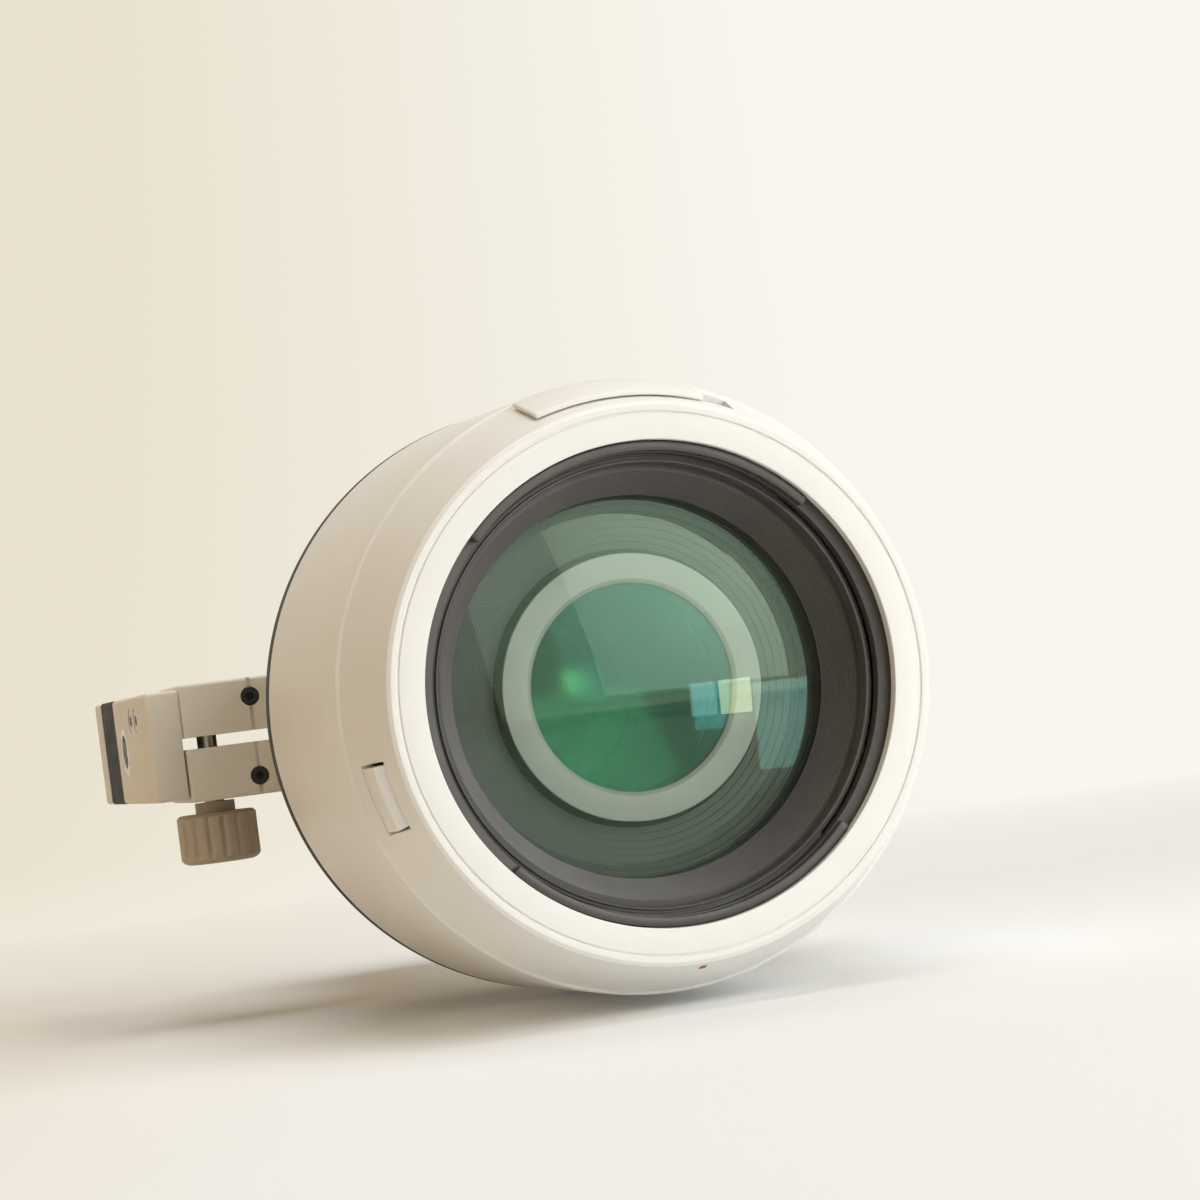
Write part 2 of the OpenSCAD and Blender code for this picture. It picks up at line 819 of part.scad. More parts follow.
module lug_screw_places() {
  for (side = [-1, 1])
    translate([lug_screw_x, side * lug_screw_y, collar_start]) children();
}

module foot_screw_places() {
  for (t = foot_screw_ts)
    translate([foot_x[0], foot_screw_y, t]) rotate([0, 90, 0]) children();
}

module collar_ring() {
  groove_half = 0.4;
  groove_deep = 0.6;
  blind = 2;
  color(cream) on_axis() difference() {
    union() {
      tube(collar_in_r, collar_r, collar_start, collar_end);
      box([-lug_reach, -collar_in_r], [-lug_half_h, lug_half_h], [collar_start, lug_end]);
    }
    translate([0, 0, collar_start - cut]) cylinder(r = collar_in_r, h = collar_len + 2 * cut);
    box([-lug_reach - cut, -collar_in_r + cut], [-slit_w / 2, slit_w / 2],
      [collar_start - cut, collar_end + cut]);
    box([lug_screw_x - groove_half, lug_screw_x + groove_half],
      [-lug_half_h - cut, lug_half_h + cut], [collar_start - cut, collar_start + groove_deep]);
    upright(screw_r + run_gap, knob_x, [0, lug_half_h + cut], knob_t);
    upright(screw_r + fit_gap, knob_x, [-lug_half_h + blind, 0], knob_t);
    lug_screw_places() {
      cylinder(r = lug_screw_r, h = lug_screw_len);
      translate([0, 0, -cut]) cylinder(r = lug_screw_head_r, h = cut + lug_screw_head);
    }
    foot_screw_places() cylinder(r = foot_screw_r, h = foot_thick + foot_screw_reach);
  }
}

module collar_liner() {
  color(rubber) on_axis() difference() {
    tube(seat_r + fit_gap, collar_in_r, collar_start, collar_end);
    box([-collar_r, 0], [-slit_w / 2, slit_w / 2], [collar_start - cut, collar_end + cut]);
  }
}

module collar_screws() {
  key_r = 0.8;
  key_deep = 0.9;
  color(black) on_axis() lug_screw_places() difference() {
    union() {
      cylinder(r = lug_screw_head_r, h = lug_screw_head);
      cylinder(r = lug_screw_r, h = lug_screw_len);
    }
    translate([0, 0, -cut]) cylinder(r = key_r, h = cut + key_deep, $fn = 6);
  }
}

module foot_plate() {
  color(cream) on_axis() difference() {
    box(foot_x, [-foot_half_h, foot_half_h], [collar_start, collar_start + foot_len]);
    box([foot_x[1] - foot_relief, foot_x[1] + cut], [-slit_w / 2, foot_half_h + cut],
      [collar_start - cut, lug_end + run_gap]);
    box([foot_x[0] - cut, foot_x[0] + foot_pad_deep], [-foot_half_h - cut, foot_half_h + cut],
      foot_pad_t);
    foot_screw_places() {
      cylinder(r = foot_screw_r, h = foot_thick + cut);
      translate([0, 0, -cut]) cylinder(r = foot_screw_head_r, h = cut + foot_screw_head);
    }
    translate([foot_x[0] - cut, 0, bush_t]) rotate([0, 90, 0])
      cylinder(r = bush_r, h = foot_thick + 2 * cut);
  }
}

module foot_pad() {
  color(rubber) on_axis()
    box([foot_x[0], foot_x[0] + foot_pad_deep], [-foot_half_h, foot_half_h], foot_pad_t);
}

module foot_screws() {
  color(metal) on_axis() foot_screw_places() {
    cylinder(r = foot_screw_head_r, h = foot_screw_head);
    cylinder(r = foot_screw_r, h = foot_thick + foot_screw_reach);
  }
}

module tripod_bush() {
  color(metal) on_axis() translate([foot_x[0], 0, bush_t]) rotate([0, 90, 0])
    tube(tripod_r, bush_r, 0, foot_thick);
}

module clamp_knob() {
  top = lug_half_h + knob_gap;
  flutes = 16;
  flute_r = 0.7;
  flute_end = 1.2;
  stub_r = 4;
  color(grey) on_axis() difference() {
    union() {
      upright(knob_d / 2, knob_x, [top, top + knob_h], knob_t);
      upright(stub_r, knob_x, [lug_half_h + run_gap, top + cut], knob_t);
    }
    for (i = [0 : flutes - 1])
      upright(flute_r, knob_x + knob_d / 2 * cos(i * 360 / flutes),
        [top + flute_end, top + knob_h - flute_end],
        knob_t + knob_d / 2 * sin(i * 360 / flutes));
    upright(screw_r, knob_x, [0, top + knob_grip], knob_t);
  }
}

module clamp_screw() {
  end_gap = 3;
  color(metal) on_axis()
    upright(screw_r, knob_x, [-lug_half_h + end_gap, lug_half_h + knob_gap + knob_grip], knob_t);
}

hood_shell();
hood_bayonet_ring();
hood_lining();
hood_rim();
hood_window_cover();
hood_release_button();
front_ring();
name_ring();
front_lens();
front_baffle();
front_barrel();
guide_tube();
middle_barrel();
rear_barrel();
switch_panel();
focus_mode_switch();
focus_limit_switch();
lock_switch();
focus_hold_button();
zoom_ring();
zoom_grip();
cam_tube();
zoom_cell();
zoom_lens();
zoom_retainer();
rear_zoom_cell();
rear_zoom_lens();
focus_ring();
focus_grip();
focus_cell();
focus_lens();
iris_housing();
iris_ring();
iris_blade_1();
iris_blade_2();
iris_blade_3();
iris_blade_4();
iris_blade_5();
iris_blade_6();
rear_cell();
rear_lens();
main_board();
rear_baffle();
mount_plate();
mount_gasket();
mount_screws();
contact_block();
contact_pins();
collar_ring();
collar_liner();
collar_screws();
foot_plate();
foot_pad();
foot_screws();
tripod_bush();
clamp_knob();
clamp_screw();
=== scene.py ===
import json
import math

import bmesh
import bpy
from mathutils import Matrix, Vector


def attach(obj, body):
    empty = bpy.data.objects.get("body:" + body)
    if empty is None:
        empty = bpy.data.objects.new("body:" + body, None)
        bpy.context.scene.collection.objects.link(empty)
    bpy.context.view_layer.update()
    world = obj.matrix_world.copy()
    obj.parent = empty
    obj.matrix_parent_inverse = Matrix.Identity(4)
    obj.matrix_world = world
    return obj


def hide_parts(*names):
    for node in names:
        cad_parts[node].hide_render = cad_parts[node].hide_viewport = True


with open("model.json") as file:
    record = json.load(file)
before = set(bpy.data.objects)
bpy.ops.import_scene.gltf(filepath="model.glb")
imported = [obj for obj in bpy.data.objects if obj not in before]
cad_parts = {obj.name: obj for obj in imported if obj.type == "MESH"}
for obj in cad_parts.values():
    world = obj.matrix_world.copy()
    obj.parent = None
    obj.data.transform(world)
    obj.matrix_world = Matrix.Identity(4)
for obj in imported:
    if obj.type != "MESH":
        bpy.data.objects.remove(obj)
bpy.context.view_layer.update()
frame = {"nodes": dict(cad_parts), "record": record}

MM = 0.001
SEGMENTS = 240
SCREW_SEGMENTS = 32
# Edges that turn by more degrees than this are shown sharp
SHARP = 32
WELD = 1e-7
RIGHT = (1, 0, 0)
BACKWARD = (0, 1, 0)
UP = (0, 0, 1)
DOWN = (0, 0, -1)

# Sizes are in mm, as in the solids. A station, t, lies that far behind the hood's front face.
# From the hood's face to the camera flange
LENS_LEN = 205.0

# Hood
HOOD_LEN = 78.0
HOOD_WALL = 2.2
FACE_R = 42.0
FACE_OUT_R = 48.6
FACE_THICK = 2.4
FACE_EDGE = 0.6
BAND_END = 16.8
SEAM_R = 54.2
SEAM_STEP = 0.6
MOUTH_R = 55.8
RIM_T = 74.2
SLEEVE_R = 44.6
SLEEVE_END = 12.0
# Middles and half span of the bayonet's two lugs, in degrees
BAYONET_ANGLES = (90, 270)
BAYONET_ARC = 42

# Front of the lens
FILTER_R = 38.5
THREAD_END = 8.8
TUBE_R = 39.6
TUBE_END = 30.6
INSET_R = 37.9
GLASS_R = 33.8
GLASS_EDGE_R = 35.6
GLASS_T = 11.4
GLASS_SAG = 5.6
GLASS_BACK = 19.2
RETAINER_T = 20.0
ZOOM_LENS_R = 18.9

# Barrels and rings
GUIDE_R = 31.4
ZOOM = (40.0, 74.0)
MIDDLE = (74.4, 87.4)
FOCUS = (87.8, 110.8)
REAR = 111.2
TAPER = 180.0
REAR_END = 201.0
RING_R = 45.6
RING_IN_R = 43.0
RING_LIP = 2.5
GRIP_R = 47.0
SEAT_R = 42.94
SPIGOT_R = 40.94
SPIGOT_END = REAR + 4
HOLD_T = (MIDDLE[0] + MIDDLE[1]) / 2
PANEL_X = (34.0, 40.0)
PANEL_Z = (-9.0, 9.0)
PANEL_T = (154.0, 177.5)
SWITCH_TS = {"focus_mode_switch": 158.25, "focus_limit_switch": 165.75, "lock_switch": 173.25}

# Mount
FLANGE_R = 31.0
THROAT_R = 22.0
BAYONET_END = LENS_LEN + 5.6
MOUNT_SCREW_R = 28.0
MOUNT_SCREW_ANGLES = (45, 135, 225, 315)
GATE_R = 24.0
GATE_T = (198.0, 199.6)
CONTACT_END = 209.4

# Collar, clamp and foot
COLLAR = (120.0, 150.0)
COLLAR_R = (40.0, 43.6)
LUG_HALF = 11.8
LUG_END = 148.0
LUG_SCREW_X = -51.0
LUG_SCREW_ZS = (-8.0, 8.0)
SLIT_HALF = 1.2
KNOB_X = -59.2
KNOB_T = 130.0
FOOT_X = (-72.2, -65.2)
FOOT_HALF = 11.0
FOOT_T = (120.0, 198.0)
FOOT_SCREW_TS = (136.5, 144.0)
FOOT_SCREW_Z = 6.0
PAD_T = (168.0, 188.0)
BUSH_T = 157.0


def band_r(t):
    """Outer radius of the hood's front band."""
    slope = (SEAM_R - SEAM_STEP - FACE_OUT_R) / (BAND_END - SEAM_STEP - FACE_EDGE)
    return FACE_OUT_R + slope * (t - FACE_EDGE)


def skirt_r(t):
    """Outer radius of the hood behind its band."""
    return SEAM_R + (MOUTH_R - SEAM_R) * (t - BAND_END) / (HOOD_LEN - BAND_END)


def around(middle, half):
    return middle - half, middle + half


def flat_ring(r0, r1, t0, t1):
    """Outline of a ring with straight sides."""
    return [(r0, t0), (r1, t0), (r1, t1), (r0, t1)]


def rod(r, length):
    """Outline of a plain round bar."""
    return [(0, 0), (r, 0), (r, length), (0, length)]


def on_band(t, low, high):
    """Outline of a plate on the hood's band, between two heights above it."""
    r0 = band_r(t[0])
    r1 = band_r(t[1])
    return [(r0 + low, t[0]), (r0 + high, t[0]), (r1 + high, t[1]), (r1 + low, t[1])]


def element_outline(r, front, front_sag, back, back_sag):
    """Outline of a lens element with two curved faces."""
    steps = 24
    ahead = [(r * i / steps, front + front_sag * (i / steps) ** 2) for i in range(steps + 1)]
    behind = [(r * i / steps, back + back_sag * (i / steps) ** 2) for i in range(steps, -1, -1)]
    return ahead + behind


def rounded(points, radius, steps=3):
    """Closed outline with its corners rounded, each by no more than its edges allow."""
    same = 1e-6
    edge_share = 0.45
    nearly_straight = math.radians(165)
    out = []
    count = len(points)
    for i in range(count):
        p = Vector(points[i])
        before = Vector(points[i - 1]) - p
        after = Vector(points[(i + 1) % count]) - p
        if before.length < same or after.length < same:
            continue
        turn = before.angle(after)
        if turn > nearly_straight:
            out.append(tuple(p))
            continue
        room = min(before.length, after.length) * edge_share
        back = min(room, radius / math.tan(turn / 2))
        a = p + before.normalized() * back
        b = p + after.normalized() * back
        for k in range(steps + 1):
            u = k / steps
            q = a * (1 - u) ** 2 + p * 2 * u * (1 - u) + b * u ** 2
            out.append(tuple(q))
    return out


def shade(obj, sharp=SHARP):
    obj.data.shade_smooth()
    obj.data.set_sharp_from_angle(angle=math.radians(sharp))


def add_object(name, bm, sharp=SHARP):
    """Object from a bmesh, which is used up."""
    mesh = bpy.data.meshes.new(name)
    bm.to_mesh(mesh)
    bm.free()
    obj = bpy.data.objects.new(name, mesh)
    bpy.context.scene.collection.objects.link(obj)
    shade(obj, sharp)
    return obj


def make(name, bm, sharp=SHARP):
    """Object from a bmesh, with doubled points merged and faces turned outward."""
    bmesh.ops.remove_doubles(bm, verts=bm.verts, dist=WELD)
    bmesh.ops.dissolve_degenerate(bm, dist=WELD, edges=bm.edges)
    bmesh.ops.recalc_face_normals(bm, faces=bm.faces)
    return add_object(name, bm, sharp)


def place(r, angle, t):
    """Point at radius r and station t. Seen from the front, the angle runs from the right upward."""
    return Vector((r * math.cos(angle), t - LENS_LEN, r * math.sin(angle))) * MM


def lathe(name, outline, span=None, sharp=SHARP, segments=SEGMENTS, wobble=None):
    """Turns a closed outline of (r, t) about the axis, all round or over a span in degrees."""
    bm = bmesh.new()
    full = span is None
    a0, a1 = (0.0, 360.0) if full else span
    count = segments if full else max(6, int(segments * (a1 - a0) / 360) + 1)
    loops = []
    for i in range(count if full else count + 1):
        angle = math.radians(a0 + (a1 - a0) * i / count)
        loop = []
        for r, t in outline:
            shift = wobble(r, angle, t) if wobble else 0
            loop.append(bm.verts.new(place(r + shift, angle, t)))
        loops.append(loop)
    size = len(outline)
    for i in range(count):
        here = loops[i]
        there = loops[(i + 1) % len(loops)]
        for j in range(size):
            k = (j + 1) % size
            bm.faces.new((here[j], here[k], there[k], there[j]))
    if not full:
        bm.faces.new(loops[0])
        bm.faces.new(list(reversed(loops[-1])))
    return make(name, bm, sharp)


def turned(name, outline, start, axis, sharp=SHARP, segments=48, wobble=None):
    """Turns an outline of (r, distance) about an axis through start, for knobs, screws and holes."""
    bm = bmesh.new()
    direction = Vector(axis).normalized()
    side = direction.orthogonal().normalized()
    other = direction.cross(side)
    base = Vector((start[0], start[1] - LENS_LEN, start[2]))
    loops = []
    for i in range(segments):
        angle = 2 * math.pi * i / segments
        out = side * math.cos(angle) + other * math.sin(angle)
        loop = []
        for r, d in outline:
            shift = wobble(r, angle, d) if wobble else 0
            loop.append(bm.verts.new((base + out * (r + shift) + direction * d) * MM))
        loops.append(loop)
    size = len(outline)
    for i in range(segments):
        here = loops[i]
        there = loops[(i + 1) % segments]
        for j in range(size):
            k = (j + 1) % size
            bm.faces.new((here[j], here[k], there[k], there[j]))
    return make(name, bm, sharp)


def block(name, x, z, t, edge=0.0):
    """Box between x, z and t, with rounded edges where edge is given."""
    edge_steps = 3
    bm = bmesh.new()
    size = Vector((x[1] - x[0], t[1] - t[0], z[1] - z[0])) * MM
    middle = Vector(((x[0] + x[1]) / 2, (t[0] + t[1]) / 2 - LENS_LEN, (z[0] + z[1]) / 2)) * MM
    shape = Matrix.Translation(middle) @ Matrix.Diagonal(size).to_4x4()
    bmesh.ops.create_cube(bm, size=1.0, matrix=shape)
    if edge:
        bmesh.ops.bevel(
            bm, geom=bm.edges[:], offset=edge * MM, segments=edge_steps, profile=0.5, affect="EDGES"
        )
    return make(name, bm)


def settle(obj):
    """Applies a piece's modifiers to its mesh."""
    graph = bpy.context.evaluated_depsgraph_get()
    mesh = bpy.data.meshes.new_from_object(obj.evaluated_get(graph))
    old = obj.data
    obj.modifiers.clear()
    obj.data = mesh
    bpy.data.meshes.remove(old)


def discard(obj):
    mesh = obj.data
    bpy.data.objects.remove(obj)
    bpy.data.meshes.remove(mesh)


def soften(obj, width, steps=2):
    """Bevels the sharp edges of a piece."""
    least_angle = 40
    bevel = obj.modifiers.new("bevel", "BEVEL")
    bevel.width = width * MM
    bevel.segments = steps
    bevel.limit_method = "ANGLE"
    bevel.angle_limit = math.radians(least_angle)
    settle(obj)
    shade(obj)
    return obj


def carve(obj, cutters, how="DIFFERENCE"):
    """Cuts other pieces out of a piece, or unites them with it, and uses them up."""
    for cutter in cutters:
        boolean = obj.modifiers.new("cut", "BOOLEAN")
        boolean.operation = how
        boolean.solver = "EXACT"
        boolean.object = cutter
    settle(obj)
    for cutter in cutters:
        discard(cutter)
    shade(obj)
    return obj


def join(name, parts):
    """One piece from several meshes."""
    bm = bmesh.new()
    for part in parts:
        bm.from_mesh(part.data)
        discard(part)
    return add_object(name, bm)


def mix_shaders(nodes, links, share, first, second):
    """Shader that goes from the first to the second as share goes from 0 to 1."""
    node = nodes.new("ShaderNodeMixShader")
    links.new(share, node.inputs["Fac"])
    links.new(first, node.inputs[1])
    links.new(second, node.inputs[2])
    return node.outputs["Shader"]


class Tree:
    """A material's nodes, made and linked in short lines."""

    # Values between which a ramp runs from its first end to its second
    RAMP_FROM = 0.3
    RAMP_TO = 0.7

    def __init__(self, name):
        self.material = bpy.data.materials.new(name)
        self.material.use_nodes = True
        self.nodes = self.material.node_tree.nodes
        self.links = self.material.node_tree.links
        self.nodes.clear()
        self.output = self.nodes.new("ShaderNodeOutputMaterial")
        self.coords = self.nodes.new("ShaderNodeTexCoord").outputs["Object"]

    def link(self, a, b):
        self.links.new(a, b)

    def finish(self, shader):
        self.link(shader, self.output.inputs["Surface"])
        return self.material

    def noise(self, scale, detail, stretch=None):
        node = self.nodes.new("ShaderNodeTexNoise")
        node.inputs["Scale"].default_value = scale
        node.inputs["Detail"].default_value = detail
        node.inputs["Roughness"].default_value = 0.55
        coords = self.coords
        if stretch:
            mapping = self.nodes.new("ShaderNodeMapping")
            mapping.inputs["Scale"].default_value = stretch
            self.link(coords, mapping.inputs["Vector"])
            coords = mapping.outputs["Vector"]
        self.link(coords, node.inputs["Vector"])
        return node.outputs["Fac"]

    def rings(self, scale):
        """Fine lines turned about the lens's axis, a little uneven."""
        node = self.nodes.new("ShaderNodeTexWave")
        node.wave_type = "RINGS"
        node.rings_direction = "Y"
        node.inputs["Scale"].default_value = scale
        node.inputs["Distortion"].default_value = 0.4
        node.inputs["Detail Scale"].default_value = 0.3
        self.link(self.coords, node.inputs["Vector"])
        return node.outputs["Fac"]

    def spread(self, value, near, far, low, high):
        """Value that runs from low to high while another runs from near to far."""
        node = self.nodes.new("ShaderNodeMapRange")
        node.inputs["From Min"].default_value = near
        node.inputs["From Max"].default_value = far
        node.inputs["To Min"].default_value = low
        node.inputs["To Max"].default_value = high
        self.link(value, node.inputs["Value"])
        return node.outputs["Result"]

    def ramp(self, value, low, high):
        return self.spread(value, self.RAMP_FROM, self.RAMP_TO, low, high)

    def fade(self, direction, near, far, low=0.0, high=1.0):
        """Value that runs from low to high between two places along a direction in the room."""
        along = self.nodes.new("ShaderNodeVectorMath")
        along.operation = "DOT_PRODUCT"
        along.inputs[1].default_value = direction
        self.link(self.coords, along.inputs[0])
        return self.spread(along.outputs["Value"], near, far, low, high)

    def colours(self, value, first, second):
        node = self.nodes.new("ShaderNodeValToRGB")
        node.color_ramp.elements[0].position = self.RAMP_FROM
        node.color_ramp.elements[1].position = self.RAMP_TO
        node.color_ramp.elements[0].color = (*first, 1)
        node.color_ramp.elements[1].color = (*second, 1)
        self.link(value, node.inputs["Fac"])
        return node.outputs["Color"]

    def bump(self, value, strength, depth):
        node = self.nodes.new("ShaderNodeBump")
        node.inputs["Strength"].default_value = strength
        node.inputs["Distance"].default_value = depth
        self.link(value, node.inputs["Height"])
        return node.outputs["Normal"]

    def diffuse(self, colour):
        node = self.nodes.new("ShaderNodeBsdfDiffuse")
        self.link(colour, node.inputs["Color"])
        return node.outputs["BSDF"]

    def mix(self, share, first, second):
        return mix_shaders(self.nodes, self.links, share, first, second)


def surface(name, colour, vary, rough, grain, metal=0.0, coat=0.0, stretch=None, specular=0.5, rings=0):
    """Opaque material: mottled or ringed colour, uneven gloss, and a grain of a scale, strength and depth."""
    scale, strength, depth = grain
    tree = Tree(name)
    shader = tree.nodes.new("ShaderNodeBsdfPrincipled")
    shader.inputs["Metallic"].default_value = metal
    shader.inputs["Coat Weight"].default_value = coat
    shader.inputs["Specular IOR Level"].default_value = specular
    patch = tree.rings(rings) if rings else tree.noise(scale=70, detail=4)
    gloss = tree.ramp(tree.noise(scale=180, detail=3), *rough)
    relief = tree.bump(tree.noise(scale, detail=2, stretch=stretch), strength, depth)
    dark = tuple(c * (1 - vary) for c in colour)
    light = tuple(min(1.0, c * (1 + vary)) for c in colour)
    tree.link(tree.colours(patch, dark, light), shader.inputs["Base Color"])
    tree.link(gloss, shader.inputs["Roughness"])
    tree.link(relief, shader.inputs["Normal"])
    return tree.finish(shader.outputs["BSDF"])


def coated_glass(name, through, sheen, face_on, edge_on, rough=(0.012, 0.024)):
    """Clear coated glass: light passes straight through, the coating tints the reflection."""
    darker = 0.86
    tree = Tree(name)
    clear = tree.nodes.new("ShaderNodeBsdfTransparent")
    clear.inputs["Color"].default_value = (*through, 1)
    gloss = tree.nodes.new("ShaderNodeBsdfGlossy")
    second = tuple(c * darker for c in sheen)
    tree.link(tree.colours(tree.noise(scale=45, detail=2), sheen, second), gloss.inputs["Color"])
    tree.link(tree.ramp(tree.noise(scale=60, detail=3), *rough), gloss.inputs["Roughness"])
    weight = tree.nodes.new("ShaderNodeLayerWeight")
    weight.inputs["Blend"].default_value = 0.35
    amount = tree.spread(weight.outputs["Facing"], 0.0, 1.0, face_on, edge_on)
    return tree.finish(tree.mix(amount, clear.outputs["BSDF"], gloss.outputs["BSDF"]))


hood_white = surface("hood_white", (0.85, 0.84, 0.81), vary=0.012, rough=(0.36, 0.46),
                     grain=(3600, 0.10, 0.00003))
barrel_white = surface("barrel_white", (0.82, 0.775, 0.69), vary=0.02, rough=(0.40, 0.52),
                       grain=(3000, 0.16, 0.00004))
black_satin = surface("black_satin", (0.066, 0.059, 0.052), vary=0.15, rough=(0.32, 0.44),
                      grain=(3200, 0.10, 0.00003))
black_matte = surface("black_matte", (0.012, 0.012, 0.012), vary=0.25, rough=(0.5, 0.65),
                      grain=(2400, 0.06, 0.00002))
anti_glare = surface("anti_glare", (0.068, 0.067, 0.062), vary=0.12, rough=(0.6, 0.7),
                     grain=(400, 0.01, 0.00001), rings=520)
flocking = surface("flocking", (0.010, 0.010, 0.010), vary=0.4, rough=(0.9, 1.0),
                   grain=(5200, 0.6, 0.00012), specular=0.1)
rubber = surface("rubber", (0.022, 0.021, 0.021), vary=0.25, rough=(0.55, 0.72),
                 grain=(2200, 0.3, 0.00006))
grey_metal = surface("grey_metal", (0.36, 0.345, 0.33), vary=0.06, rough=(0.42, 0.54),
                     grain=(2600, 0.1, 0.00003), metal=0.2)
grey_plastic = surface("grey_plastic", (0.50, 0.43, 0.34), vary=0.05, rough=(0.4, 0.55),
                       grain=(2800, 0.2, 0.00005))
steel = surface("steel", (0.55, 0.55, 0.54), vary=0.06, rough=(0.24, 0.36),
                grain=(900, 0.08, 0.00002), metal=1.0, stretch=(1.0, 9.0, 1.0))
chrome = surface("chrome", (0.66, 0.66, 0.65), vary=0.03, rough=(0.14, 0.24),
                 grain=(1400, 0.06, 0.00002), metal=1.0, stretch=(1.0, 12.0, 1.0))
gold = surface("gold", (0.78, 0.56, 0.22), vary=0.05, rough=(0.18, 0.28),
               grain=(1800, 0.06, 0.00002), metal=1.0)
board_green = surface("board_green", (0.02, 0.11, 0.05), vary=0.2, rough=(0.3, 0.4),
                      grain=(1500, 0.15, 0.00004), coat=0.3)
red_paint = surface("red_paint", (0.36, 0.05, 0.025), vary=0.1, rough=(0.4, 0.5),
                    grain=(2600, 0.1, 0.00002))
mark_grey = surface("mark_grey", (0.11, 0.105, 0.10), vary=0.1, rough=(0.45, 0.55),
                    grain=(2600, 0.1, 0.00002))
front_glass = coated_glass("front_glass", through=(0.93, 0.97, 0.94), sheen=(0.70, 0.95, 0.70),
                           face_on=0.030, edge_on=0.16)
inner_glass = coated_glass("inner_glass", through=(0.46, 0.78, 0.72), sheen=(0.18, 0.76, 0.72),
                           face_on=0.034, edge_on=0.16)
back_glass = coated_glass("back_glass", through=(0.46, 0.78, 0.72), sheen=(0.50, 1.0, 0.54),
                          face_on=0.085, edge_on=0.2, rough=(0.11, 0.15))
deep_glass = coated_glass("deep_glass", through=(0.60, 0.82, 0.84), sheen=(0.14, 0.60, 0.66),
                          face_on=0.012, edge_on=0.12)

slot_looks = {
    "hood_plastic": hood_white,
    "white_paint": barrel_white,
    "black_plastic": black_satin,
    "black_metal": black_matte,
    "flocking": flocking,
    "rubber": rubber,
    "grey_metal": grey_metal,
    "grey_plastic": grey_plastic,
    "steel": steel,
    "chrome": chrome,
    "gold": gold,
    "board": board_green,
    "coated_glass": deep_glass,
}
node_slot = {part["node"]: part["material_slot"] for part in frame["record"]["subparts"]}
node_body = {}
for body_name, members in frame["record"]["behaviour"]["bodies"].items():
    for member in members:
        node_body[member] = body_name


def dress(obj, material):
    obj.data.materials.clear()
    obj.data.materials.append(material)


for node_name, node_object in frame["nodes"].items():
    dress(node_object, slot_looks[node_slot[node_name]])


def stands_for(obj, node, material=None):
    """The piece replaces a node, rides on its body and takes its finish."""
    dress(obj, material or slot_looks[node_slot[node]])
    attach(obj, node_body[node])
    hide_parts(node)


def goes_with(obj, body, material):
    """An extra detail that rides on a body."""
    dress(obj, material)
    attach(obj, body)


def add_hood_shell():
    """Shell with a groove in its face and openings for the window and the release button."""
    groove_r = (46.5, 46.9)
    groove_deep = 0.35
    face_flat_r = 47.9
    sleeve_out_r = 46.4
    hollow_t = 4.0
    inner_bend_t = 17.4
    shell = lathe("hood_shell_skin", rounded([
        (FACE_R, 0), (groove_r[0], 0), (groove_r[0], groove_deep), (groove_r[1], groove_deep),
        (groove_r[1], 0), (face_flat_r, 0), (FACE_OUT_R, FACE_EDGE),
        (SEAM_R - SEAM_STEP, BAND_END - SEAM_STEP), (SEAM_R - 0.35, BAND_END - 0.5),
        (SEAM_R, BAND_END - 0.1), (skirt_r(RIM_T), RIM_T), (skirt_r(RIM_T) - HOOD_WALL, RIM_T),
        (skirt_r(inner_bend_t) - HOOD_WALL, inner_bend_t), (band_r(hollow_t) - HOOD_WALL, hollow_t),
        (sleeve_out_r, hollow_t), (sleeve_out_r, SLEEVE_END), (SLEEVE_R, SLEEVE_END),
        (SLEEVE_R, FACE_THICK), (FACE_R, FACE_THICK)
    ], radius=0.25, steps=4))
    cut_r = (46.8, 56.0)
    window_t = (5.6, 13.6)
    button_t = (5.0, 12.6)
    carve(shell, [
        lathe("window_cut", flat_ring(*cut_r, *window_t), span=(66, 101)),
        lathe("button_cut", flat_ring(*cut_r, *button_t), span=(188.2, 202.4)),
    ])
    stands_for(shell, "hood_shell")


def add_hood_bayonet():
    """Plate inside the hood with two raised lips and the two hooks that hold it on the lens."""
    plate_r = 40.0
    plate_t = (3.4, 6.0)
    seat_r = 42.4
    channel_r = 42.9
    lip = flat_ring(r0=40.2, r1=41.8, t0=1.2, t1=3.9)
    lip_arc = 46.5
    hook = flat_ring(r0=40.2, r1=43.4, t0=9.2, t1=11.4)
    parts = [lathe("bayonet_plate", rounded([
        (plate_r, plate_t[0]), (seat_r, plate_t[0]), (seat_r, FACE_THICK), (SLEEVE_R, FACE_THICK),
        (SLEEVE_R, SLEEVE_END), (channel_r, SLEEVE_END), (channel_r, plate_t[1]), (plate_r, plate_t[1])
    ], radius=0.15))]
    for middle in BAYONET_ANGLES:
        parts.append(soften(lathe("bayonet_lip", lip, span=around(middle, lip_arc)), width=0.22))
        parts.append(soften(lathe("bayonet_hook", hook, span=around(middle, BAYONET_ARC)), width=0.2))
    stands_for(join("hood_bayonet_ring_skin", parts), "hood_bayonet_ring")


def add_hood_lining():
    start_t = 19.8
    thick = 0.6
    start_r = skirt_r(start_t) - HOOD_WALL
    end_r = skirt_r(RIM_T) - HOOD_WALL
    stands_for(lathe("hood_lining_skin", [
        (start_r, start_t), (end_r, RIM_T), (end_r - thick, RIM_T), (start_r - thick, start_t)
    ]), "hood_lining")


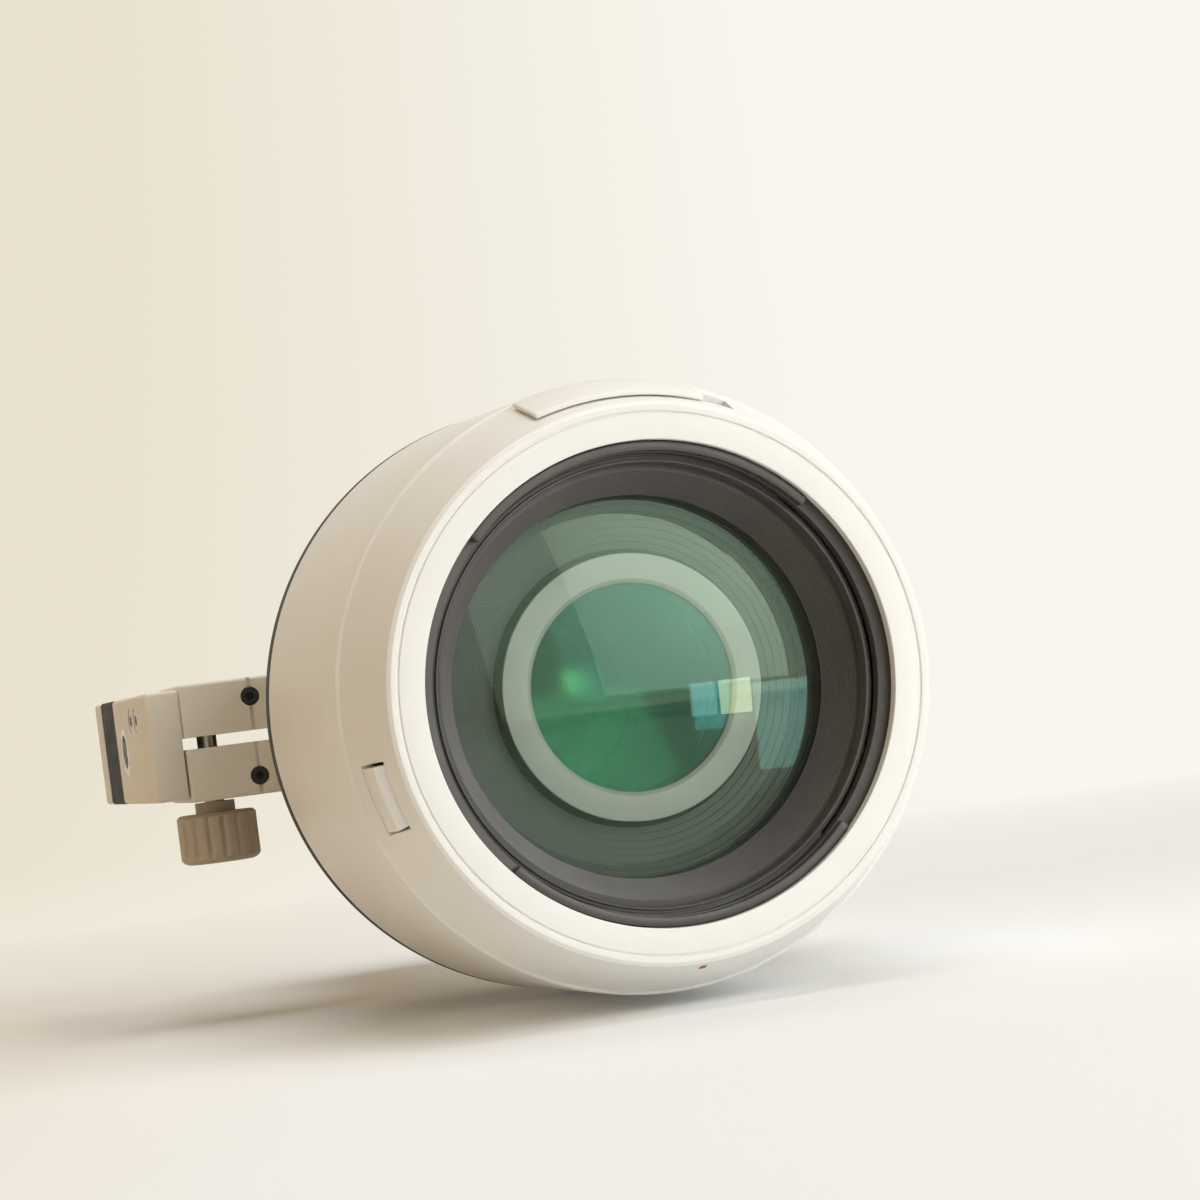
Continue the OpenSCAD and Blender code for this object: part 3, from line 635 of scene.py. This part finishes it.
def add_hood_rim():
    edge = 0.8
    stands_for(lathe("hood_rim_skin", rounded([
        (skirt_r(RIM_T) - HOOD_WALL, RIM_T), (skirt_r(RIM_T), RIM_T), (MOUTH_R, HOOD_LEN - edge),
        (MOUTH_R - edge, HOOD_LEN), (MOUTH_R - HOOD_WALL, HOOD_LEN)
    ], radius=0.6, steps=5)), "hood_rim")


def add_window_cover():
    outline = on_band(t=(4.2, 15.0), low=0.3, high=1.2)
    cover = lathe("window_cover_plate", outline, span=(73, 108), segments=360)
    stands_for(soften(cover, width=0.3, steps=3), "hood_window_cover")


def add_release_button():
    """Wedge on a narrower stem. Its front edge stands proud of the band."""
    floor_r = 47.8
    stem_r = 48.6
    cap_r = 48.7
    stem_t = (5.4, 12.2)
    cap_t = (5.15, 12.5)
    crest_t = (5.9, 6.6)
    proud = 1.5
    sunk = 0.1
    button = lathe("release_button_body", [
        (floor_r, stem_t[0]), (stem_r, stem_t[0]), (cap_r, cap_t[0]),
        (band_r(cap_t[0]) - sunk, cap_t[0]), (band_r(crest_t[0]) + proud, crest_t[0]),
        (band_r(crest_t[1]) + proud, crest_t[1]), (band_r(cap_t[1]) - sunk, cap_t[1]),
        (cap_r, cap_t[1]), (stem_r, stem_t[1]), (floor_r, stem_t[1])
    ], span=(188.9, 201.7), segments=720)
    stands_for(soften(button, width=0.25, steps=3), "hood_release_button")


def add_index_tick():
    """Small red tick of paint under the hood's face."""
    outline = on_band(t=(2.2, 4.0), low=0.01, high=0.06)
    tick = lathe("hood_index_tick", outline, span=(270.7, 272.1), segments=3600)
    goes_with(tick, "hood", red_paint)


def add_front_ring():
    """Tube with the filter thread inside its front and the two lugs that the hood hooks onto."""
    front_t = 5.4
    shoulder_t = 6.0
    lip_r = 39.05
    lip_edge = 0.1
    entry_wide = 0.15
    entry_deep = 0.2
    thread_start = 5.75
    pitch = 0.75
    groove_deep = 0.22
    groove_offset = 0.36
    thread = []
    for turn in range(4):
        t = thread_start + turn * pitch
        thread += [(FILTER_R, t), (FILTER_R + groove_deep, t + groove_offset)]
    outline = [(TUBE_R, shoulder_t), (TUBE_R, TUBE_END), (INSET_R, TUBE_END), (INSET_R, THREAD_END)]
    outline += [(FILTER_R, THREAD_END)] + list(reversed(thread))
    outline += [(FILTER_R, front_t + entry_deep), (FILTER_R + entry_wide, front_t)]
    outline += [(lip_r - lip_edge, front_t), (lip_r, front_t + lip_edge), (lip_r, shoulder_t)]
    parts = [lathe("front_ring_tube", outline)]
    lug = flat_ring(r0=39.1, r1=42.3, t0=6.4, t1=8.8)
    for middle in BAYONET_ANGLES:
        parts.append(soften(lathe("front_lug", lug, span=around(middle, BAYONET_ARC)), width=0.2))
    stands_for(join("front_ring_skin", parts), "front_ring")


def add_name_ring():
    """Cone with fine turned ridges, down to the front glass."""
    ridges = 14
    ridge_share = 0.8
    ridge_lean = 0.02
    cone_r = 37.4
    rim_t = GLASS_T + GLASS_SAG * (GLASS_R / GLASS_EDGE_R) ** 2
    cone_end = rim_t - 0.4
    outline = [(INSET_R, THREAD_END)]
    for i in range(ridges):
        r = cone_r + (GLASS_R - cone_r) * i / ridges
        t0 = THREAD_END + (cone_end - THREAD_END) * i / ridges
        t1 = THREAD_END + (cone_end - THREAD_END) * (i + ridge_share) / ridges
        outline += [(r, t0), (r + ridge_lean, t1)]
    outline += [(GLASS_R, cone_end), (GLASS_R, rim_t), (GLASS_EDGE_R, GLASS_T + GLASS_SAG)]
    outline += [(GLASS_EDGE_R, GLASS_BACK), (INSET_R, GLASS_BACK)]
    stands_for(lathe("name_ring_skin", outline, sharp=20), "name_ring")


def add_front_glass():
    gap = 0.02
    back_sag = 1.2
    outline = element_outline(GLASS_EDGE_R - gap, GLASS_T, GLASS_SAG, GLASS_BACK - back_sag, back_sag)
    stands_for(lathe("front_lens_skin", outline, sharp=50), "front_lens", front_glass)


def add_front_baffle():
    """Stepped dark funnel behind the front glass."""
    mouth_r = 35.0
    throat_r = 24.8
    end_t = 24.6
    steps = 8
    first_step = 0.3
    step_deep = 0.5
    step_in = (mouth_r - throat_r) / steps
    outline = [(INSET_R, GLASS_BACK), (mouth_r, GLASS_BACK)]
    for i in range(steps):
        t = GLASS_BACK + first_step + i * step_deep
        outline += [(mouth_r - i * step_in, t), (mouth_r - (i + 1) * step_in, t)]
    outline += [(throat_r, end_t), (INSET_R, end_t)]
    stands_for(lathe("front_baffle_skin", rounded(outline, radius=0.1)), "front_baffle", anti_glare)


def add_zoom_group():
    """Grey retaining ring and its lens, whose back face has a stronger reflection of its own."""
    inner_r = 18.55
    bevel_r = 19.3
    outer_r = 23.8
    back_t = 20.9
    stands_for(lathe("zoom_retainer_skin", rounded([
        (inner_r, RETAINER_T + 0.5), (bevel_r, RETAINER_T), (outer_r, RETAINER_T), (outer_r, back_t),
        (ZOOM_LENS_R, back_t), (inner_r, back_t - 0.05)
    ], radius=0.12)), "zoom_retainer")
    gap = 0.04
    proud = 0.15
    outline = element_outline(
        ZOOM_LENS_R - gap, front=RETAINER_T - proud, front_sag=1.0, back=28.0, back_sag=-3.5
    )
    lens = lathe("zoom_lens_skin", outline, sharp=50)
    stands_for(lens, "zoom_lens", inner_glass)
    lens.data.materials.append(back_glass)
    for face in lens.data.polygons:
        if face.normal.y > 0.5:
            face.material_index = 1


def add_front_barrel():
    start_t = 16.0
    end_t = 39.6
    outer_r = 43.6
    inner_r = 41.6
    edge = 0.8
    web_end = 35.6
    stands_for(lathe("front_barrel_skin", rounded([
        (TUBE_R, start_t), (outer_r - edge, start_t), (outer_r, start_t + edge), (outer_r, end_t),
        (inner_r, end_t), (inner_r, web_end), (GUIDE_R, web_end), (GUIDE_R, TUBE_END), (TUBE_R, TUBE_END)
    ], radius=0.3)), "front_barrel")


def add_control_ring(name, span):
    """Ring with a raised lip at each end, and between them a rubber sleeve with ribs."""
    lip_r = GRIP_R - 0.02
    start, end = span
    t0 = start + RING_LIP
    t1 = end - RING_LIP
    stands_for(lathe(name + "_ring_skin", rounded([
        (RING_IN_R, start), (lip_r, start), (lip_r, t0), (RING_R, t0),
        (RING_R, t1), (lip_r, t1), (lip_r, end), (RING_IN_R, end)
    ], radius=0.35)), name + "_ring")

    ribs = 36
    rib_segments = 20
    pitch = 2 * math.pi / ribs
    depth = 0.84
    half = 0.8 / GRIP_R
    half_at_top = half * 1.25
    flank = half * 0.5
    plain_end = 2.8
    ease = 0.5

    def dip(r, angle, t):
        """Depth of the grooves between the ribs, easing in behind the sleeve's plain ends."""
        if r < RING_R + 0.5:
            return 0.0
        off = abs((angle + pitch / 2) % pitch - pitch / 2)
        across = min(1.0, max(0.0, (half_at_top - off) / flank))
        along = min(1.0, max(0.0, min(t - t0 - plain_end, t1 - plain_end - t) / ease))
        return -depth * across * along

    groove_start = plain_end + ease
    # Stations from each end of the sleeve: its rounded edge, its plain end, and where the grooves begin
    ends = [0.2, 1.6, plain_end, plain_end + ease / 2]
    parts = 6
    groove_len = t1 - t0 - 2 * groove_start
    outer = [t0 + d for d in ends]
    outer += [t0 + groove_start + groove_len * i / parts for i in range(parts + 1)]
    outer += [t1 - d for d in reversed(ends)]
    outline = [(RING_R, t0)] + [(GRIP_R, t) for t in outer] + [(RING_R, t1)]
    grip = lathe(name + "_grip_skin", outline, sharp=40, segments=ribs * rib_segments, wobble=dip)
    stands_for(grip, name + "_grip")


def add_middle_barrel():
    barrel = lathe("middle_barrel_skin", rounded([
        (SPIGOT_R, MIDDLE[0]), (RING_R, MIDDLE[0]), (RING_R, MIDDLE[1]), (SEAT_R, MIDDLE[1]),
        (SEAT_R, SPIGOT_END), (SPIGOT_R, SPIGOT_END)
    ], radius=0.3))
    hole_x = 42.6
    carve(barrel, [turned("hold_cut", rod(r=4.6, length=5), (hole_x, HOLD_T, 0), RIGHT)])
    stands_for(barrel, "middle_barrel")


def add_hold_button():
    """Round button with a dished top."""
    base_x = 43.8
    stands_for(turned("hold_button_cap", [
        (0, 0), (4.2, 0), (4.2, 2.2), (4.0, 2.5), (3.6, 2.7), (2.4, 2.62), (1.2, 2.55), (0, 2.5)
    ], (base_x, HOLD_T, 0), RIGHT, segments=64), "focus_hold_button")


def add_rear_barrel():
    web_t = (REAR + 1, REAR + 6)
    collar_gap = 0.5
    collar_seat_r = 39.0
    rear_r = 38.0
    shoulder_r = 37.9
    end_r = 33.5
    inner_r = 36.0
    inner_end_r = 30.5
    end_wall_t = REAR_END - 3
    barrel = lathe("rear_barrel_skin", rounded([
        (GUIDE_R, web_t[0]), (SPIGOT_R, web_t[0]), (SPIGOT_R, SPIGOT_END), (SEAT_R, SPIGOT_END),
        (SEAT_R, COLLAR[0] - collar_gap), (collar_seat_r, COLLAR[0] - collar_gap),
        (collar_seat_r, COLLAR[1] + collar_gap), (rear_r, COLLAR[1] + collar_gap),
        (rear_r, TAPER - 3), (shoulder_r, TAPER), (end_r, REAR_END), (GATE_R, REAR_END),
        (GATE_R, end_wall_t), (inner_end_r, end_wall_t), (inner_r, TAPER), (inner_r, web_t[1]),
        (GUIDE_R, web_t[1])
    ], radius=0.3))
    carve(barrel, [block("panel_cut", (PANEL_X[0], PANEL_X[1] + 1), PANEL_Z, PANEL_T)])
    stands_for(barrel, "rear_barrel")


def add_switch_panel():
    panel = block("switch_panel_plate", PANEL_X, PANEL_Z, PANEL_T, edge=0.5)
    recess_x = (38.6, 42.0)
    recess_z = (-5.9, 2.9)
    recess_half = 2.4
    carve(panel, [
        block("recess", recess_x, recess_z, around(t, recess_half)) for t in SWITCH_TS.values()
    ])
    stands_for(panel, "switch_panel")


def add_switch(node, t):
    """Sliding cap with four ridges across its travel."""
    base_x = (38.9, 40.3)
    base_half = 2.5
    base_half_t = 2
    ridge_x = (40.0, 41.2)
    ridge_half = 0.4
    ridge_half_t = 1.9
    first_z = -1.8
    pitch = 1.2
    parts = [block(node + "_base", base_x, around(0, base_half), around(t, base_half_t), edge=0.2)]
    for row in range(4):
        ridge_z = around(first_z + row * pitch, ridge_half)
        parts.append(block(node + "_ridge", ridge_x, ridge_z, around(t, ridge_half_t), edge=0.2))
    stands_for(join(node + "_cap", parts), node)


def add_scale_marks():
    """Five short plain ticks of paint on the middle barrel."""
    first_angle = 62
    pitch = 14
    half = 0.5
    paint = (RING_R + 0.005, RING_R + 0.04)
    tick_t = (MIDDLE[0] + 1.2, MIDDLE[0] + 3.4)
    outline = flat_ring(*paint, *tick_t)
    for i in range(5):
        span = around(first_angle + i * pitch, half)
        mark = lathe("zoom_scale_mark_%d" % (i + 1), outline, span, segments=1800)
        goes_with(mark, "lens", mark_grey)


def mount_screw_spots(t):
    """Places of the four mount screws at one station."""
    spots = []
    for angle in MOUNT_SCREW_ANGLES:
        a = math.radians(angle)
        spots.append((MOUNT_SCREW_R * math.cos(a), t, MOUNT_SCREW_R * math.sin(a)))
    return spots


def add_mount_plate():
    """Flange with seats for its screws, and a spigot with three bayonet lugs."""
    relief_r = 27.8
    relief_t = LENS_LEN - 0.4
    spigot_r = 25.6
    flange = lathe("mount_flange", rounded([
        (THROAT_R, REAR_END), (FLANGE_R, REAR_END), (FLANGE_R, LENS_LEN), (relief_r, LENS_LEN),
        (relief_r, relief_t), (spigot_r, relief_t), (spigot_r, BAYONET_END), (THROAT_R, BAYONET_END)
    ], radius=0.2))
    seat = rod(r=1.9, length=3)
    seat_t = LENS_LEN - 1.6
    carve(flange, [
        turned("screw_seat", seat, spot, BACKWARD, segments=SCREW_SEGMENTS)
        for spot in mount_screw_spots(seat_t)
    ])
    parts = [flange]
    lug = flat_ring(r0=25.1, r1=27.4, t0=LENS_LEN + 3.4, t1=BAYONET_END)
    lug_arc = 52
    for start in (20, 140, 260):
        parts.append(soften(lathe("mount_lug", lug, span=(start, start + lug_arc)), width=0.25))
    stands_for(join("mount_plate_skin", parts), "mount_plate")


def add_mount_screws():
    """Four screws with cross slots."""
    outline = [(0, 0), (0.9, 0), (0.9, 4.8), (1.7, 4.8), (1.7, 5.9), (1.4, 6.2), (0, 6.2)]
    slot_long = 1.1
    slot_thin = 0.22
    slot_t = (LENS_LEN - 0.8, LENS_LEN + 0.5)
    tip_t = LENS_LEN - 6.4
    screws = []
    for spot in mount_screw_spots(tip_t):
        screw = turned("mount_screw", outline, spot, BACKWARD, segments=SCREW_SEGMENTS)
        slots = []
        for x_half, z_half in ((slot_long, slot_thin), (slot_thin, slot_long)):
            slots.append(block("cross", around(spot[0], x_half), around(spot[2], z_half), slot_t))
        screws.append(carve(screw, slots))
    stands_for(join("mount_screws_skin", screws), "mount_screws")


def add_mount_gasket():
    outer_r = 32.5
    lip_r = 31.6
    lip_t = LENS_LEN + 0.5
    inner_t = LENS_LEN - 0.3
    stands_for(lathe("mount_gasket_skin", rounded([
        (FLANGE_R, REAR_END), (outer_r, REAR_END), (outer_r, lip_t), (lip_r, lip_t), (lip_r, inner_t),
        (FLANGE_R, inner_t)
    ], radius=0.3)), "mount_gasket")


def add_contacts():
    """Block inside the mount's throat with a row of nine gold pins."""
    inner_r = 18.0
    block_outline = flat_ring(inner_r, THROAT_R, GATE_T[1], CONTACT_END)
    contact_block = lathe("contact_block_skin", block_outline, span=(52, 128))
    stands_for(soften(contact_block, width=0.3, steps=3), "contact_block")
    pin_outline = [(0, 0), (0.7, 0), (0.7, 0.3), (0.55, 0.5), (0, 0.5)]
    row_r = 20
    row_middle = 90
    pitch = 7.6
    pins = []
    for i in range(-4, 5):
        a = math.radians(row_middle + i * pitch)
        spot = (row_r * math.cos(a), CONTACT_END, row_r * math.sin(a))
        pins.append(turned("contact", pin_outline, spot, BACKWARD, segments=24))
    stands_for(join("contact_pins_skin", pins), "contact_pins")


def add_rear_baffle():
    """Plate with an oblong opening for the light."""
    opening_x = (-12, 12)
    opening_z = (-8.5, 8.5)
    through_t = (196, 202)
    gate = lathe("rear_baffle_skin", flat_ring(0, GATE_R, *GATE_T))
    carve(gate, [block("gate_cut", opening_x, opening_z, through_t)])
    stands_for(gate, "rear_baffle")


def add_collar():
    """Split ring with two clamp lugs, holes for the clamp screw, and a groove with two screw seats."""
    lug_x = (FOOT_X[1], -41)
    slit_x = (-67, -38)
    slit_t = (COLLAR[0] - 2, COLLAR[1] + 2)
    groove_x = around(LUG_SCREW_X, 0.4)
    groove_deep = 0.6
    past_lugs = 13
    before_t = COLLAR[0] - 1
    bore_spot = (0, COLLAR[0] - 5, 0)
    clamp_spot = (KNOB_X, KNOB_T, 0)
    collar = lathe("collar_ring_skin", rounded(flat_ring(*COLLAR_R, *COLLAR), radius=0.5, steps=4))
    lugs = block("collar_lugs", lug_x, around(0, LUG_HALF), (COLLAR[0], LUG_END), edge=0.7)
    carve(collar, [lugs], "UNION")
    cuts = [
        turned("collar_bore", rod(COLLAR_R[0], length=40), bore_spot, BACKWARD, segments=SEGMENTS),
        block("collar_slit", slit_x, around(0, SLIT_HALF), slit_t),
        block("lug_groove", groove_x, around(0, past_lugs), (before_t, COLLAR[0] + groove_deep)),
        turned("clamp_low", rod(r=2.4, length=13), clamp_spot, DOWN, segments=SCREW_SEGMENTS),
        turned("clamp_high", rod(r=2.06, length=9.8), clamp_spot, UP, segments=SCREW_SEGMENTS),
    ]
    seat = rod(r=1.9, length=2.6)
    for z in LUG_SCREW_ZS:
        spot = (LUG_SCREW_X, before_t, z)
        cuts.append(turned("lug_screw_cut", seat, spot, BACKWARD, segments=SCREW_SEGMENTS))
    carve(collar, cuts)
    stands_for(collar, "collar_ring")


def add_socket_screws(name, node, outline, socket, spots, axis, segments):
    """Screws with hexagon sockets, cut from 1 mm before each screw's start."""
    screws = []
    for spot in spots:
        before = tuple(s - a for s, a in zip(spot, axis))
        screw = turned("screw", outline, spot, axis, segments=segments)
        screws.append(carve(screw, [turned("key", socket, before, axis, segments=6)]))
    stands_for(join(name, screws), node)


def add_collar_screws():
    outline = [(0, 0), (1.65, 0), (1.88, 0.25), (1.88, 1.6), (1.0, 1.6), (1.0, 8), (0, 8)]
    socket = rod(r=0.85, length=1.9)
    spots = [(LUG_SCREW_X, COLLAR[0], z) for z in LUG_SCREW_ZS]
    add_socket_screws(
        "collar_screws_skin", "collar_screws", outline, socket, spots, BACKWARD, segments=SCREW_SEGMENTS
    )


def add_foot_plate():
    """Plate with a relief under the free lug, a recess for the pad, and holes for bush and screws."""
    foot = block("foot_plate_skin", FOOT_X, around(0, FOOT_HALF), FOOT_T, edge=0.8)
    before_x = FOOT_X[0] - 1
    wide = 12
    relief_x = (FOOT_X[1] - 0.4, FOOT_X[1] + 1)
    relief_t = (FOOT_T[0] - 1, LUG_END + 0.4)
    cuts = [
        block("foot_relief", relief_x, (-wide, SLIT_HALF), relief_t),
        block("pad_recess", around(FOOT_X[0], 1), around(0, wide), PAD_T),
        turned("bush_cut", rod(r=4.975, length=9), (before_x, BUSH_T, 0), RIGHT),
    ]
    screw_hole = [(0, 0), (2.6, 0), (2.6, 3), (1.5, 3), (1.5, 9), (0, 9)]
    for t in FOOT_SCREW_TS:
        spot = (before_x, t, FOOT_SCREW_Z)
        cuts.append(turned("head_cut", screw_hole, spot, RIGHT, segments=SCREW_SEGMENTS))
    carve(foot, cuts)
    stands_for(foot, "foot_plate")


def add_foot_pad():
    """Thin base with nine ribs across the foot."""
    base_x = (FOOT_X[0] + 0.4, FOOT_X[0] + 1)
    rib_x = (FOOT_X[0], FOOT_X[0] + 0.6)
    rib_z = around(0, FOOT_HALF - 0.3)
    rib_half = 0.75
    first_t = 169.1
    pitch = 2.225
    parts = [block("pad_base", base_x, around(0, FOOT_HALF), PAD_T)]
    for i in range(9):
        parts.append(block("pad_rib", rib_x, rib_z, around(first_t + i * pitch, rib_half), edge=0.2))
    stands_for(join("foot_pad_skin", parts), "foot_pad")


def add_foot_screws():
    outline = [(0, 0.2), (2.3, 0.2), (2.58, 0.5), (2.58, 2), (1.5, 2), (1.5, 16), (0, 16)]
    socket = rod(r=1.3, length=2.6)
    spots = [(FOOT_X[0], t, FOOT_SCREW_Z) for t in FOOT_SCREW_TS]
    add_socket_screws("foot_screws_skin", "foot_screws", outline, socket, spots, RIGHT, segments=40)


def add_tripod_bush():
    """Bush with ridges for its thread."""
    outer_r = 4.95
    mouth_r = 3.5
    thread_r = 3.175
    groove_r = 3.6
    length = 7
    pitch = 1.27
    crest_offset = 0.2
    groove_offset = -0.43
    outline = [(outer_r, 0), (outer_r, length), (mouth_r, length)]
    for turn in range(5, 0, -1):
        outline += [(thread_r, turn * pitch + crest_offset), (groove_r, turn * pitch + groove_offset)]
    outline += [(mouth_r, 0)]
    bush = turned("tripod_bush_skin", outline, (FOOT_X[0], BUSH_T, 0), RIGHT, segments=64)
    stands_for(bush, "tripod_bush")


def add_clamp_knob():
    """Fluted knob with a dished end, below the lower lug."""
    knob_r = 8.0
    flutes = 16
    flute_deep = 0.55
    flute_from_r = 7
    flute_d = (3.4, 11.0)

    def flute(r, angle, d):
        if r < flute_from_r or d < flute_d[0] or d > flute_d[1]:
            return 0.0
        return -flute_deep * max(0.0, math.cos(flutes * angle)) ** 2

    outline = [(2.0, 0.4), (4.0, 0.4), (4.0, 2.6), (7.4, 2.6), (knob_r, 3.2)]
    outline += [(knob_r, 3.6 + i * 1.2) for i in range(7)]
    outline += [(knob_r, 11.6), (7.5, 12.2), (6.6, 12.6), (5.6, 12.4), (0, 12.3), (0, 8.6), (2.0, 8.6)]
    spot = (KNOB_X, KNOB_T, -LUG_HALF)
    knob = turned("clamp_knob_skin", outline, spot, DOWN, segments=192, wobble=flute, sharp=40)
    stands_for(knob, "clamp_knob")


add_hood_shell()
add_hood_bayonet()
add_hood_lining()
add_hood_rim()
add_window_cover()
add_release_button()
add_index_tick()
add_front_ring()
add_name_ring()
add_front_glass()
add_front_baffle()
add_zoom_group()
add_front_barrel()
add_control_ring("zoom", ZOOM)
add_control_ring("focus", FOCUS)
add_middle_barrel()
add_hold_button()
add_rear_barrel()
add_switch_panel()
for switch, station in SWITCH_TS.items():
    add_switch(switch, station)
add_scale_marks()
add_mount_plate()
add_mount_screws()
add_mount_gasket()
add_contacts()
add_rear_baffle()
add_collar()
add_collar_screws()
add_foot_plate()
add_foot_pad()
add_foot_screws()
add_tripod_bush()
add_clamp_knob()


def seen_rays(nodes, links):
    """1 for rays that show the surface itself, 0 for rays that only carry its light."""
    path = nodes.new("ShaderNodeLightPath")
    seen = path.outputs["Is Camera Ray"]
    for ray in ("Is Glossy Ray", "Is Transmission Ray"):
        either = nodes.new("ShaderNodeMath")
        either.operation = "MAXIMUM"
        links.new(seen, either.inputs[0])
        links.new(path.outputs[ray], either.inputs[1])
        seen = either.outputs["Value"]
    return seen


def paper_look():
    """Pale paper: near the lens it shows its shading, farther back it glows a pale colour. Painted shade
    makes both darker and warmer towards the left.
    """
    tree = Tree("paper")
    across = (0.959, -0.282, 0.0)
    right_side = (0.96, 0.975, 0.99)
    # Painted shade: the backdrop's glow is darker and warmer towards the left
    backdrop = tree.colours(tree.fade(across, -0.65, 0.55), (0.835, 0.775, 0.64), (0.955, 0.935, 0.875))
    # Painted shade: the floor's colour is darker and warmer towards the left
    shown = tree.colours(tree.fade(across, -0.28, 0.12), (0.90, 0.86, 0.77), right_side)
    # At the left the floor sends a darker, warmer light back to the lens than it shows
    bounced = tree.colours(tree.fade(across, -0.18, 0.10), (0.60, 0.49, 0.36), right_side)
    seen = seen_rays(tree.nodes, tree.links)
    floor_shader = tree.mix(seen, tree.diffuse(bounced), tree.diffuse(shown))
    backdrop_light = tree.nodes.new("ShaderNodeEmission")
    tree.link(backdrop, backdrop_light.inputs["Color"])
    glow = tree.nodes.new("ShaderNodeMath")
    glow.operation = "MULTIPLY"
    tree.link(seen, glow.inputs[0])
    tree.link(tree.fade(BACKWARD, 0.0, 0.4, low=0.06, high=0.97), glow.inputs[1])
    return tree.finish(tree.mix(glow.outputs["Value"], floor_shader, backdrop_light.outputs["Emission"]))


def add_floor():
    """Floor and backdrop in one sweep, below the hood. Its sizes are in metres."""
    floor_z = -0.0566
    front_y = -2.2
    bend_y = 1.0
    bend_r = 0.9
    bend_steps = 16
    top_z = 3.0
    half_width = 3.0
    sweep = [(front_y, 0.0), (bend_y, 0.0)]
    for i in range(1, bend_steps + 1):
        a = math.pi / 2 * i / bend_steps
        sweep.append((bend_y + bend_r * math.sin(a), bend_r - bend_r * math.cos(a)))
    sweep.append((bend_y + bend_r, top_z))
    bm = bmesh.new()
    rows = []
    for y, z in sweep:
        rows.append([bm.verts.new((x, y, z + floor_z)) for x in around(0, half_width)])
    for near, far in zip(rows, rows[1:]):
        bm.faces.new((near[0], near[1], far[1], far[0]))
    floor = make("floor", bm, sharp=60)
    dress(floor, paper_look())


def add_surround():
    """Surround that is seen pale, and gives a weak warm light."""
    horizon_end = 0.2
    world = bpy.data.worlds.new("surround")
    bpy.context.scene.world = world
    world.use_nodes = True
    nodes = world.node_tree.nodes
    links = world.node_tree.links
    nodes.clear()
    direction = nodes.new("ShaderNodeTexCoord")
    height = nodes.new("ShaderNodeSeparateXYZ")
    links.new(direction.outputs["Generated"], height.inputs["Vector"])

    def sky(low, high, strength):
        """One colour below the horizon and another above it."""
        ramp = nodes.new("ShaderNodeValToRGB")
        ramp.color_ramp.elements[0].position = 0.0
        ramp.color_ramp.elements[0].color = (*low, 1)
        ramp.color_ramp.elements[1].position = horizon_end
        ramp.color_ramp.elements[1].color = (*high, 1)
        links.new(height.outputs["Z"], ramp.inputs["Fac"])
        node = nodes.new("ShaderNodeBackground")
        node.inputs["Strength"].default_value = strength
        links.new(ramp.outputs["Color"], node.inputs["Color"])
        return node.outputs["Background"]

    light = sky(low=(0.20, 0.16, 0.11), high=(1.0, 0.78, 0.48), strength=0.28)
    shown = sky(low=(0.62, 0.57, 0.48), high=(0.90, 0.87, 0.79), strength=1.0)
    output = nodes.new("ShaderNodeOutputWorld")
    mixed = mix_shaders(nodes, links, seen_rays(nodes, links), light, shown)
    links.new(mixed, output.inputs["Surface"])


def add_lamp(name, spot, target, size, power, colour, spread=180):
    """Flat lamp at a spot, turned to a target. Its beam is spread degrees wide."""
    data = bpy.data.lights.new(name, "AREA")
    data.shape = "RECTANGLE"
    data.size = size[0]
    data.size_y = size[1]
    data.energy = power
    data.color = colour
    data.spread = math.radians(spread)
    obj = bpy.data.objects.new(name, data)
    obj.location = spot
    obj.rotation_euler = (Vector(target) - Vector(spot)).to_track_quat("-Z", "Y").to_euler()
    bpy.context.scene.collection.objects.link(obj)


def add_lamps():
    """Broad soft lamps at the right front and above, a weak warm one at the left."""
    front = (0, -0.2, 0)
    middle = (0, -0.1, 0)
    add_lamp("window_lamp", (0.79, -1.21, 0.44), front, (1.7, 1.0), 6.3, (0.93, 0.975, 1.0), spread=110)
    add_lamp("top_lamp", (0.1, -0.15, 1.3), middle, (1.0, 1.0), 9.4, (0.97, 0.985, 1.0))
    add_lamp("fill_lamp", (-1.3, -0.35, 0.35), middle, (0.8, 0.5), 2.3, (1.0, 0.75, 0.47))
    # Two small panes, which the glass reflects
    add_lamp("pane_lamp", (0.238, -0.5215, -0.03), front, (0.052, 0.048), 0.075, (1.0, 0.96, 0.74))
    add_lamp("blue_pane_lamp", (0.194, -0.55, -0.03), front, (0.042, 0.048), 0.035, (0.50, 0.80, 1.0))


def add_camera():
    """Camera at the photograph's place, level with the lens and turned by the photograph's tilt."""
    azimuth = math.radians(16.4)
    roll = math.radians(7.3)
    distance = 0.6
    photo_px = 1200
    focal_px = 3498
    shift_px = (-65, 83)
    sensor = 36
    data = bpy.data.cameras.new("camera")
    data.sensor_width = sensor
    data.sensor_fit = "HORIZONTAL"
    data.lens = focal_px / photo_px * sensor
    data.shift_x = shift_px[0] / photo_px
    data.shift_y = shift_px[1] / photo_px
    data.clip_start = 0.01
    camera = bpy.data.objects.new("camera", data)
    bpy.context.scene.collection.objects.link(camera)
    forward = Vector((math.sin(azimuth), math.cos(azimuth), 0))
    right = Vector((math.cos(azimuth), -math.sin(azimuth), 0))
    upward = Vector(UP)
    tilted_up = upward * math.cos(roll) + right * math.sin(roll)
    tilted_right = right * math.cos(roll) - upward * math.sin(roll)
    turn = Matrix((tilted_right, tilted_up, -forward)).transposed().to_4x4()
    face_middle = Vector((0, -LENS_LEN * MM, 0))
    camera.matrix_world = Matrix.Translation(face_middle - forward * distance) @ turn
    bpy.context.scene.camera = camera
    bpy.context.scene.view_settings.view_transform = "Standard"


add_floor()
add_surround()
add_lamps()
add_camera()
